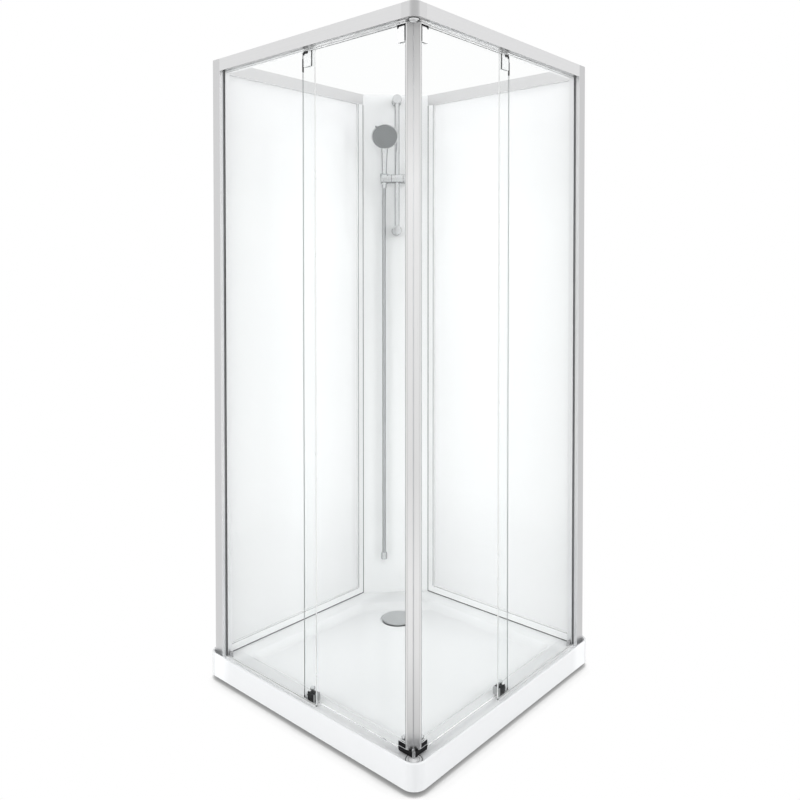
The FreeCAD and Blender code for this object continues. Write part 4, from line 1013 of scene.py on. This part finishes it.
quarter = [(math.sin(a), math.cos(a)) for a in np.radians([0, 22.5, 45, 67.5, 90])]
rings = [drain_ring(45, 36)]
rings += [square_ring(half, level) for half, level in SKIRT]
rings += [square_ring(TRAY_HALF - LIP_ROUND * (1 - c), LIP_TOP - LIP_ROUND * (1 - s)) for s, c in quarter]
rings += [square_ring(LIP_IN - LIP_ROUND * s, LIP_TOP - LIP_ROUND * (1 - c)) for s, c in quarter]
rings += [square_ring(LIP_FOOT - LEDGE_ROUND * (1 - c), LEDGE + LEDGE_ROUND * (1 - s)) for s, c in quarter]
rings += [basin_ring(inward, level) for inward, level in BASIN_FALL]
rings += [drain_ring(radius, level) for radius, level in DRAIN_FALL]
tray_rings = np.array(rings)
notch = 2 * CORNER_POINTS + ARC_STEPS + 1 + NOTCH_STEPS
tray_rings[2:5, notch, 2] = NOTCH_TOPS
make("tray_skin", skin(tray_rings, ends=False, wrap=True), "cabin", acrylic, "shower_tray", sharp=50)
print("tray: %d rings of %d points" % tray_rings.shape[:2])

# %% [markdown]
# Drain
#
# The waste is covered by a shallow round lid over a chromed flange. Both are turned parts: a profile of
# radius and height, swept about the axis of the drain. The lid is dull, because water marks it.

# %% Drain cover and flange
LID_FOOT_REACH = 0.048
at_drain = upright(*DRAIN)
lid = turned([(0, 46), (55, 46), (56, 46.6), (56, 50), (54, 51.3), (0, 51.5)], [0, 0.4, 0.4, 0.8, 1.5, 0],
             at_drain, 72)
lid_feet = [DRAIN + LID_FOOT_REACH * np.array([math.cos(a), math.sin(a)]) for a in np.radians([90, 210, 330])]
feet = [lathe(mm([(0, 44), (3, 44), (3, 46.2), (0, 46.2)]), upright(*spot), 16) for spot in lid_feet]
make("drain_lid", together(lid, *feet), "cover", dull_chrome, "drain_cover")
flange = hoop([(40, 34), (44.5, 34), (44.5, 42), (60, 42), (60, 44), (40, 44)],
              [0.4, 0.4, 0.3, 0.3, 0.9, 0.9], at_drain, 72)
make("drain_ring", flange, "cabin", chrome, "drain_flange")
print("drain lid and flange")

# %% [markdown]
# Door grips
#
# Each door ends in a full-height grip: a narrow flat strip along the glass and a slope that falls to the
# line where the doors meet. Between the slopes sit two soft magnetic strips. The profiles are drawn bars
# like the frame's, with finer lines and a softer shine, and the strips swell a little towards each other.

# %% Grips and magnetic strips
GRIP_LOW, GRIP_HIGH, SLOPE_FACE = 87.5, 1957, 0.85
by_door = upright(0, -HALF)
grip = bar([(381, 40), (386.9, 40), (387.2, 41), (388.1, 41), (388.4, 40), (393.8, 54), (387.8, 60),
            (381, 60), (381, 51.5), (388.5, 51.5), (388.5, 46.5), (381, 46.5)],
           [0.8, 0.3, 0.2, 0.2, 0.3, 0.3, 0.5, 0.8, 0.5, 0.2, 0.2, 0.5], GRIP_LOW, GRIP_HIGH, 0.6, by_door)
make_pair("grip_profile", grip, "door", grip_silver, "door_grip")
# The slopes take their own lighter finish with painted shade at their ends.
for side in SIDES:
    middles, normals = faces_of(side + "_grip_profile")
    second_finish(side + "_grip_profile", slope_silver, normals @ OUT > SLOPE_FACE)
magnet = bar([(393.8, 54), (395.7, 54.2), (392.6, 57.2), (389.5, 60), (387.8, 60)], [0.1, 0.4, 1.5, 0.4, 0.1],
             GRIP_LOW, GRIP_HIGH, 0.4, by_door)
make_pair("magnet_profile", magnet, "door", magnet_white, "magnet_strip")
gaskets = [bar(box(378.8, 381.1, a, b), 0.6, 100.5, 1909.5, 0.4, by_door)
           for a, b in ((40.5, 46.4), (51.6, 59.5))]
make_pair("grip_gaskets", together(*gaskets), "door", seam_grey)
print("grips, magnetic strips and gaskets")

# %% [markdown]
# Hangers and rollers
#
# Two clamps hold each door: a bright plate in front of the glass, a thicker one behind it, a black lining
# that shows as a thin dark outline, and a black cap that hooks over the edge of the glass. An arm reaches
# up into the rail and carries the axle of a grooved roller. All plates are rounded outlines with bevelled
# edges.

# %% Hangers
HANGERS = {"front": 365.0, "rear": 1.0}
HANGER_HALF = 15.5
AXLE_LEVEL = 1975.3
HOOKS = {"front": [(0, 1947), (3, 1947), (6, 1951), (31, 1951.6), (31, 1956), (0, 1956)],
         "rear": [(0, 1945), (4, 1945), (6, 1948.5), (18, 1947.5), (19.5, 1951), (19.5, 1956), (0, 1956)]}


def plate(x0, x1, z0, z1, y0, y1, radius=2.0, edge=0.6):
    """A slab with a rounded upright outline, from y0 in front to y1 behind, all in millimetres."""
    return bar(box(x0, x1, z0, z1), radius, y0, y1, edge, along_y())


plates, linings, pins = [], [], []
for where, mid in HANGERS.items():
    low, high = mid - HANGER_HALF, mid + HANGER_HALF
    plates += [plate(low, high, 1911, 1956, -406.5, -403.8), plate(low, high, 1911, 1956, -398.2, -392.5),
               plate(low, high, 1955.5, 1959, -406.5, -392.5, 0.8, 0.4),
               plate(mid - 10, mid + 10, 1958, 1981.8, -403, -399, 3, 0.5),
               turned([(0, 0), (4.2, 0), (4.2, 1.6), (2.6, 2.2), (2.4, 1.0), (0, 1.0)], 0.3,
                      backwards(mid, -392.6, 1930), 24)]
    linings += [plate(low - 0.3, high + 0.3, 1910.6, 1956, -403.9, -403.5, 2.2, 0.1),
                plate(low + 2, high - 2.6, 1911.6, 1956, -398.5, -398.1, 2.2, 0.1),
                bar(np.array(HOOKS[where]) + (low, 0), 0.8, -407.4, -406.4, 0.3, along_y())]
    pins.append(turned([(0, -0.2), (3, -0.2), (3, 8), (0, 8)], 0.5, backwards(mid, -399, AXLE_LEVEL), 24))
linings.append(plate(-23, -20.6, 1899, 1937, -404.3, -397.7, 0.6, 0.4))
linings.append(plate(374.6, 378.6, 1912, 1956, -407.3, -406.3, 0.4, 0.2))
make_pair("hanger_plates", together(*plates), "door", pale_chrome, "hangers")
make_pair("hanger_linings", together(*linings), "door", black)
make_pair("axle_pins", together(*pins), "door", chrome, "roller_axles")
for where, mid in HANGERS.items():
    tread = hoop([(3.05, 0), (10, 0), (10, 1), (9, 2.5), (10, 4), (10, 5), (3.05, 5)],
                 [0.3, 0.5, 0.3, 0.8, 0.3, 0.5, 0.3], backwards(mid, -396, AXLE_LEVEL), 64)
    make_pair(where + "_wheel_tread", tread, where + "_wheel", roller_white,
              where + "_roller")
print("hangers, axles and rollers")

# %% [markdown]
# Guides and release knobs
#
# At its foot each door runs in two shoes. The rear one is a black block between a bright post and a low
# bright arm, with a domed knob on top that frees the door for cleaning. The front one is mitred to close
# against its twin at the corner: a black foot with a bright head. Rounded slabs and turned parts make them
# all.

# %% Guides
FRONT, GLASS_FRONT, GLASS_REAR, BACK = -406.5, -403.7, -398.3, -383.0
KNOBS = {"front": 361.2, "rear": 3.0}
KNOB_BACK = -0.39075


def slab(outline, z0, z1, radius=1.5, edge=0.8):
    """A flat slab with a rounded level outline between two levels, all in millimetres."""
    return bar(outline, radius, z0, z1, edge, upright())


shoes = [
    slab(box(-4, 20.5, FRONT, BACK), 71.5, 76.8),
    slab(box(-4, 20.5, FRONT, GLASS_FRONT), 75, 97.6, 0.9, 0.5),
    slab(box(-4, 20.5, GLASS_REAR, BACK), 75, 93.5, 2.5),
    slab(box(-20, -15.5, FRONT, GLASS_FRONT), 73, 81, 0.9, 0.5),
    slab([(352, FRONT), (400.5, FRONT), (377, BACK), (352, BACK)], 71.5, 76.8, [2.5, 0.6, 0.6, 2.5]),
    slab([(352, FRONT), (400.5, FRONT), (397.7, GLASS_FRONT), (352, GLASS_FRONT)], 75, 87.2, 0.5, 0.4),
    slab(box(352, 379.8, FRONT, GLASS_FRONT), 86, 97.4, 0.9, 0.5),
    slab([(352, GLASS_REAR), (392.3, GLASS_REAR), (377, BACK), (352, BACK)], 75, 87.2, [1.5, 0.5, 0.5, 1.5]),
]
bright = [
    slab(box(-15.3, -4.2, FRONT, GLASS_FRONT), 73, 80, 0.9, 0.5),
    slab(box(-19.5, -5.5, -397.6, -385), 73, 84, 3, 1.5),
    slab(box(351.8, 380, FRONT - 0.2, GLASS_FRONT), 84.4, 86.4, 0.4, 0.3),
    slab(box(351.8, 380, FRONT, -403.6), 97.8, 99, 0.6, 0.4),
    slab(box(352.2, 380, -398.4, BACK), 88, 98.5, 3.5, 1.6),
]
ends = [
    slab(box(20.7, 26, FRONT, GLASS_FRONT), 72.5, 95, 1.1, 0.7),
    slab(box(20.7, 26, GLASS_REAR, BACK), 72.5, 95, 1.5, 0.7),
    slab([(400.7, FRONT), (406, FRONT), (382.5, BACK), (377.2, BACK)], 71.5, 76.8, 0.4, 0.4),
    slab([(400.7, FRONT), (406, FRONT), (403.2, GLASS_FRONT), (397.9, GLASS_FRONT)], 76, 87.2, 0.4, 0.4),
]
make_pair("guide_shoes", together(*shoes), "door", black, "guides")
make_pair("guide_caps", together(*bright), "door", handset_chrome)
make_pair("guide_ends", together(*ends), "door", post_grey)
for where, x in KNOBS.items():
    knob = turned([(0, 84.8), (5, 84.8), (5, 98.8), (6.4, 98.8), (7.2, 99.8), (7.2, 105.4),
                   (4.8, 108.3), (0, 108.8)], [0, 0.5, 0.3, 0.3, 0.8, 2, 2.5, 0],
                  upright(x * MM, KNOB_BACK), 40, steps=4)
    make_pair(where + "_release_knob", knob, where + "_knob", handset_chrome, where + "_release")
print("guides and release knobs")

# %% [markdown]
# Corner stop and buffers
#
# Where the doors meet, a round bright stop lies on the ledge and a smaller cap closes the joint above. Two
# short rubber buffers stand by the posts to catch the doors. All are turned parts with a soft rim.

# %% Stop, cap and buffers
BUFFER_SPOTS = [(-0.385, -0.401), (0.401, 0.385)]
stop_axis = upright(0.406, -0.406)
stop = turned([(0, 68), (21.5, 68), (21.5, 70.2), (20.2, 71), (16.5, 71), (15.5, 70.2), (9, 70.2),
               (8, 70.9), (0, 71)], [0, 0.3, 0.6, 0.6, 0.5, 0.5, 0.4, 0.4, 0], stop_axis, 72)
cap = turned([(0, 1958.5), (11, 1958.7), (13, 1959.6), (13, 1961), (0, 1961)], [0, 2, 0.8, 0.2, 0],
             stop_axis, 56)
make("corner_discs", cap, "cabin", bright_white, "corner_stop")
make("corner_stop_disc", stop, "cabin", bright_white, "corner_stop")
cap_ring = hoop(box(13.1, 14.4, 1959.8, 1961), 0.3, stop_axis, 56)
stop_rim = hoop(box(20.6, 22.4, 68, 71.3), 0.3, stop_axis, 72)
make("cap_ring", together(cap_ring, stop_rim), "cabin", rubber)
make("stop_ring", hoop(box(14.4, 15.6, 69.8, 70.8), 0.3, stop_axis, 72), "cabin", seam_grey)
buffers = [turned([(0, 68), (7, 68), (7, 69.5), (5.6, 70.5), (5.6, 80), (6.4, 82), (4.4, 84.6), (0, 85)],
                  [0, 0.3, 0.4, 0.5, 1, 1, 1.5, 0], upright(*spot), 36) for spot in BUFFER_SPOTS]
make("ledge_buffers", together(*buffers), "cabin", grey_rubber, "door_buffers")
print("corner discs and buffers")

# %% [markdown]
# Cut edges of the glass
#
# The long edges of the panes are ground, not clear. Seen along the pane they are narrow grey-green bands,
# pale where they face the light and deeper on the doors' far edges. Each edge is a thin strip on the glass,
# so that it keeps its tone while the glass itself stays clear.

# %% Ground edges
def edge_strip(x0, x1, y0, y1, z0, z1):
    """A thin closed strip between two corners, in millimetres."""
    return slab(box(x0, x1, y0, y1), z0, z1, 0.05, 0.05)


make_pair("pane_edge", edge_strip(41, 41.2, -415.4, -410.6, 74.5, 1961), "cabin", edge_clear)
make_pair("door_edge", edge_strip(-22.2, -22, -403.4, -398.6, 77.2, 1955.4), "door", edge_deep)
make_pair("door_top_edge", edge_strip(-21.8, 380.8, -403.4, -398.6, 1955.5, 1955.7), "door", edge_pale)
print("ground edges")

# %% [markdown]
# Riser rail
#
# The shower set hangs on the slanted panel. The rail is a chromed tube between two short round brackets
# with a separate front cap. Everything here is turned, so a part needs only a profile and three directions:
# along the panel, out of the panel and up.

# %% Rail and brackets
RAIL_ALONG, STAND = 4, 56
BRACKET_LEVELS = (1476, 1971)
riser = turned([(0, 1471), (9, 1471), (9, 1976), (0, 1976)], [0, 2, 2, 0],
               framed(on_panel(RAIL_ALONG, STAND, 0), ACROSS, OUT, UP), 40, steps=4)
make("riser_tube", riser, "cabin", edged_chrome, "riser_bar")
brackets = [turned([(0, 2.6), (18.5, 2.6), (18.5, 7), (17.3, 8), (17.3, 60), (16.8, 60.4), (17.3, 60.8),
                    (17.3, 65), (15.4, 66.6), (0, 67)], [0, 0.4, 0.8, 0.8, 0.3, 0.2, 0.3, 1.2, 1.4, 0],
                   framed(on_panel(RAIL_ALONG, 0, level), ACROSS, UP, OUT), 48) for level in BRACKET_LEVELS]
make("riser_bracket_pair", together(*brackets), "cabin", edged_chrome, "riser_brackets")
print("riser rail and brackets")

# %% [markdown]
# Slider and holder
#
# A level barrel slides on the rail. Its middle is clamped by the knob on the right, which is ribbed for wet
# hands, and its left end turns to tilt the handset. The ribs are a cosine wave on the radius of the knob.

# %% Slider, holder and clamp knob
KNOB_RIBS = 18
KNOB_ROWS = [(15.5, 26.3, 0), (16.2, 26.6, 0.2), (16.9, 28, 0.6), (16.9, 45, 0.6), (15.4, 47.4, 0.3),
             (13, 48.3, 0)]
HOLDER_ALONG, SLIDER_LEVEL = -44.6, 1671
HANDLE_LEAN = math.radians(20)
HANDLE = math.sin(HANDLE_LEAN) * OUT + math.cos(HANDLE_LEAN) * UP
AHEAD = math.cos(HANDLE_LEAN) * OUT - math.sin(HANDLE_LEAN) * UP
holder_spot = on_panel(HOLDER_ALONG, STAND, SLIDER_LEVEL)
level_axis = framed(on_panel(0, STAND, SLIDER_LEVEL), OUT, UP, ACROSS)
handle_axis = framed(holder_spot, ACROSS, AHEAD, HANDLE)
slider = turned([(0, -18), (16.6, -18), (17.5, -17), (17.5, 25), (16.6, 26), (0, 26)],
                [0, 0.4, 0.4, 0.4, 0.4, 0], level_axis, 56)
make("slider_barrel", slider, "slider", handset_chrome, "slider_body")
barrel = turned([(0, -58.3), (14, -58.1), (17.5, -55), (17.5, -19.3), (16.6, -18.3), (0, -18.3)],
                [0, 3, 3, 0.4, 0.4, 0], level_axis, 56)
cup = hoop([(9.9, -19), (12.6, -19), (15.6, 19), (11.6, 19)], [0.5, 1, 1, 0.5], handle_axis, 48)
make("holder_cup", together(barrel, cup), "holder", handset_chrome, "tilt_holder")
stud = lathe(mm([(0, 17.3), (5, 17.3), (5, 27), (0, 27)]), level_axis, 24)
clamp = together(skin(fluted(KNOB_ROWS, KNOB_RIBS, level_axis)), stud)
make("clamp_knob_ribbed", clamp, "clamp", handset_chrome, "clamp_knob")
print("slider, holder and clamp knob")

# %% [markdown]
# Handset
#
# A straight handle widens towards a round head. Handle and head are two turned parts on different axes;
# their overlap is the neck. The back of the head is a soft dome and its rim is a narrow bright ring around
# the grey face.

# %% Handle, head and cone nut
FACE_DROP = math.radians(11)
CONE_DOWN = 36
HEAD_REACH, DOT_REACH, DOT_AHEAD = 0.166, 0.122, 0.0122
FACE = math.cos(FACE_DROP) * AHEAD - math.sin(FACE_DROP) * HANDLE
FACE_UP = math.cos(FACE_DROP) * HANDLE + math.sin(FACE_DROP) * AHEAD
head_spot = holder_spot + HEAD_REACH * HANDLE
head_axis = framed(head_spot, ACROSS, FACE_UP, FACE)
dot_axis = framed(holder_spot + DOT_REACH * HANDLE + DOT_AHEAD * AHEAD, ACROSS, HANDLE, AHEAD)
handle = turned([(0, 20), (8.4, 20), (9, 21), (9.2, 40), (10.8, 80), (13, 130), (11.5, 148), (7, 156),
                 (0, 158)], [0, 0.4, 0.6, 40, 60, 25, 8, 3, 0], handle_axis, 48, steps=4)
head = turned([(0, 0), (22, 0.6), (35, 3), (44, 8), (48.4, 13.5), (49, 17), (48.2, 20), (45.6, 20),
               (45.3, 17.1), (0, 17.1)], [0, 40, 25, 14, 6, 2, 0.9, 0.5, 0.2, 0], head_axis, 96, steps=4)
make("handset_shell", together(handle, head), "holder", handset_chrome, "handset_body")
mark = turned([(0, -1), (2.4, -1), (2.4, 0.5), (0, 0.9)], 0.4, dot_axis, 20)
make("handset_mark", mark, "holder", spray_grey)
cone = turned([(0, -CONE_DOWN), (8.2, -CONE_DOWN), (9, 1 - CONE_DOWN), (11.2, 14), (11.5, 20), (0, 20)],
              [0, 0.5, 0.6, 3, 0.3, 0], handle_axis, 40)
make("cone_nut_turned", cone, "holder", edged_chrome, "hose_cone_nut")
print("handset and cone nut")

# %% [markdown]
# Spray face
#
# The face is a grey disc with five rings of soft nozzles and a small lever that turns it. One nozzle is a
# dome of a few faces. All nozzles are that dome added to an array of places, so the whole field is made in
# one step.

# %% Nozzles and lever
LEVER_TURN = math.radians(130)
NOZZLE_COUNTS, NOZZLE_RADII = np.array([6, 12, 18, 24, 30]), mm([8, 16, 24, 32, 39.5])
face = turned([(0, 17.3), (45, 17.3), (45, 21.4), (43.6, 22.6), (0, 23)], [0, 0.2, 0.8, 1.5, 0],
              head_axis, 96)
reach = math.cos(LEVER_TURN) * ACROSS + math.sin(LEVER_TURN) * FACE_UP
lever = bar([(40, -3.5), (55, -3), (55, 3), (40, 3.5)], [0.5, 2, 2, 0.5], 20.4, 22.6, 0.5,
            framed(head_spot, reach, np.cross(FACE, reach), FACE))
make("spray_disc", together(face, lever), "spray", spray_grey, "spray_face")

turn = np.concatenate([np.arange(count) * 2 * np.pi / count for count in NOZZLE_COUNTS])
far = np.repeat(NOZZLE_RADII, NOZZLE_COUNTS)
spots = np.stack([far * np.cos(turn), far * np.sin(turn), 0 * far], -1)
dome = mm([(0, 21.6), (1.5, 21.6), (1.4, 23), (0.8, 23.6), (0, 23.7)])
dome_points, dome_faces = lathe(dome, upright(), 10)
field = (spots[:, None] + dome_points[None]).reshape(-1, 3)
shift = (np.arange(len(spots)) * len(dome_points)).tolist()
field_faces = [tuple(i + s for i in f) for s in shift for f in dome_faces]
make("spray_nozzles", (head_axis(*field.T), field_faces), "spray", nozzle_grey)
print("spray face with", len(spots), "nozzles")

# %% [markdown]
# Under the tray
#
# The tray rests on a frame of zinc-coated bars with six levelling feet. The feet are turned pads on studs,
# locked by hexagonal nuts with chamfered corners, and the waste is a plastic cup with a level outlet pipe.
# All of it is seen only from low down, but it is finished like the rest.

# %% Support frame, feet and waste
FEET = [(x, y) for x in (-0.33, 0.0, 0.33) for y in (-0.35, 0.35)]
NUT_RADIUS = 9


def carrier(mid, end, place):
    """A carrying bar about its middle line, from -end to end: a rectangle with drawn corners."""
    return bar(box(mid - 15, mid + 15, 18, 36), 2, -end, end, 0.8, place)


bars = [carrier(mid, 400, along_y()) for mid in (-330, 0, 330)]
bars.append(carrier(-200, 330, along_x()))
make("carrying_bars", together(*bars), "cabin", zinc, "support_frame")
pads = [turned([(0, 0), (20, 0), (20, 3), (16, 5.4), (7, 6), (5, 7), (5, 18.2), (0, 18.2)],
               [0, 0.8, 1.5, 2, 1, 0.6, 0.1, 0], upright(*spot), 48) for spot in FEET]
make("turned_feet", together(*pads), "cabin", zinc, "levelling_feet")
sixths = np.arange(6) * np.pi / 3
hexagon = NUT_RADIUS * np.stack([np.cos(sixths), np.sin(sixths)], -1)
nuts = [bar(hexagon, 0.8, 9, 15, 0.7, upright(*spot)) for spot in FEET]
make("hex_nuts", together(*nuts), "cabin", zinc, "foot_locknuts")

well = hoop([(0.5, 1.5), (52, 1.5), (52, 34), (46, 34), (46, 7.5), (0.5, 7.5)], [0.1, 2.5, 0.6, 0.6, 2, 0.1],
            at_drain, 64)
pipe = hoop([(13.5, 238), (16, 238), (16, 242.5), (17.4, 243.2), (17.4, 249.8), (16, 250.2), (16, 405),
             (13.5, 405)], 0.5, backwards(-190, 0, 17.8), 48)
make("waste_cup", together(well, pipe), "cabin", pipe_white, "waste_body")
washer = hoop(box(46, 52, 34, 36), 0.6, at_drain, 64)
make("waste_washer", washer, "cabin", rubber, "waste_gasket")
print("carrying frame, feet and waste")
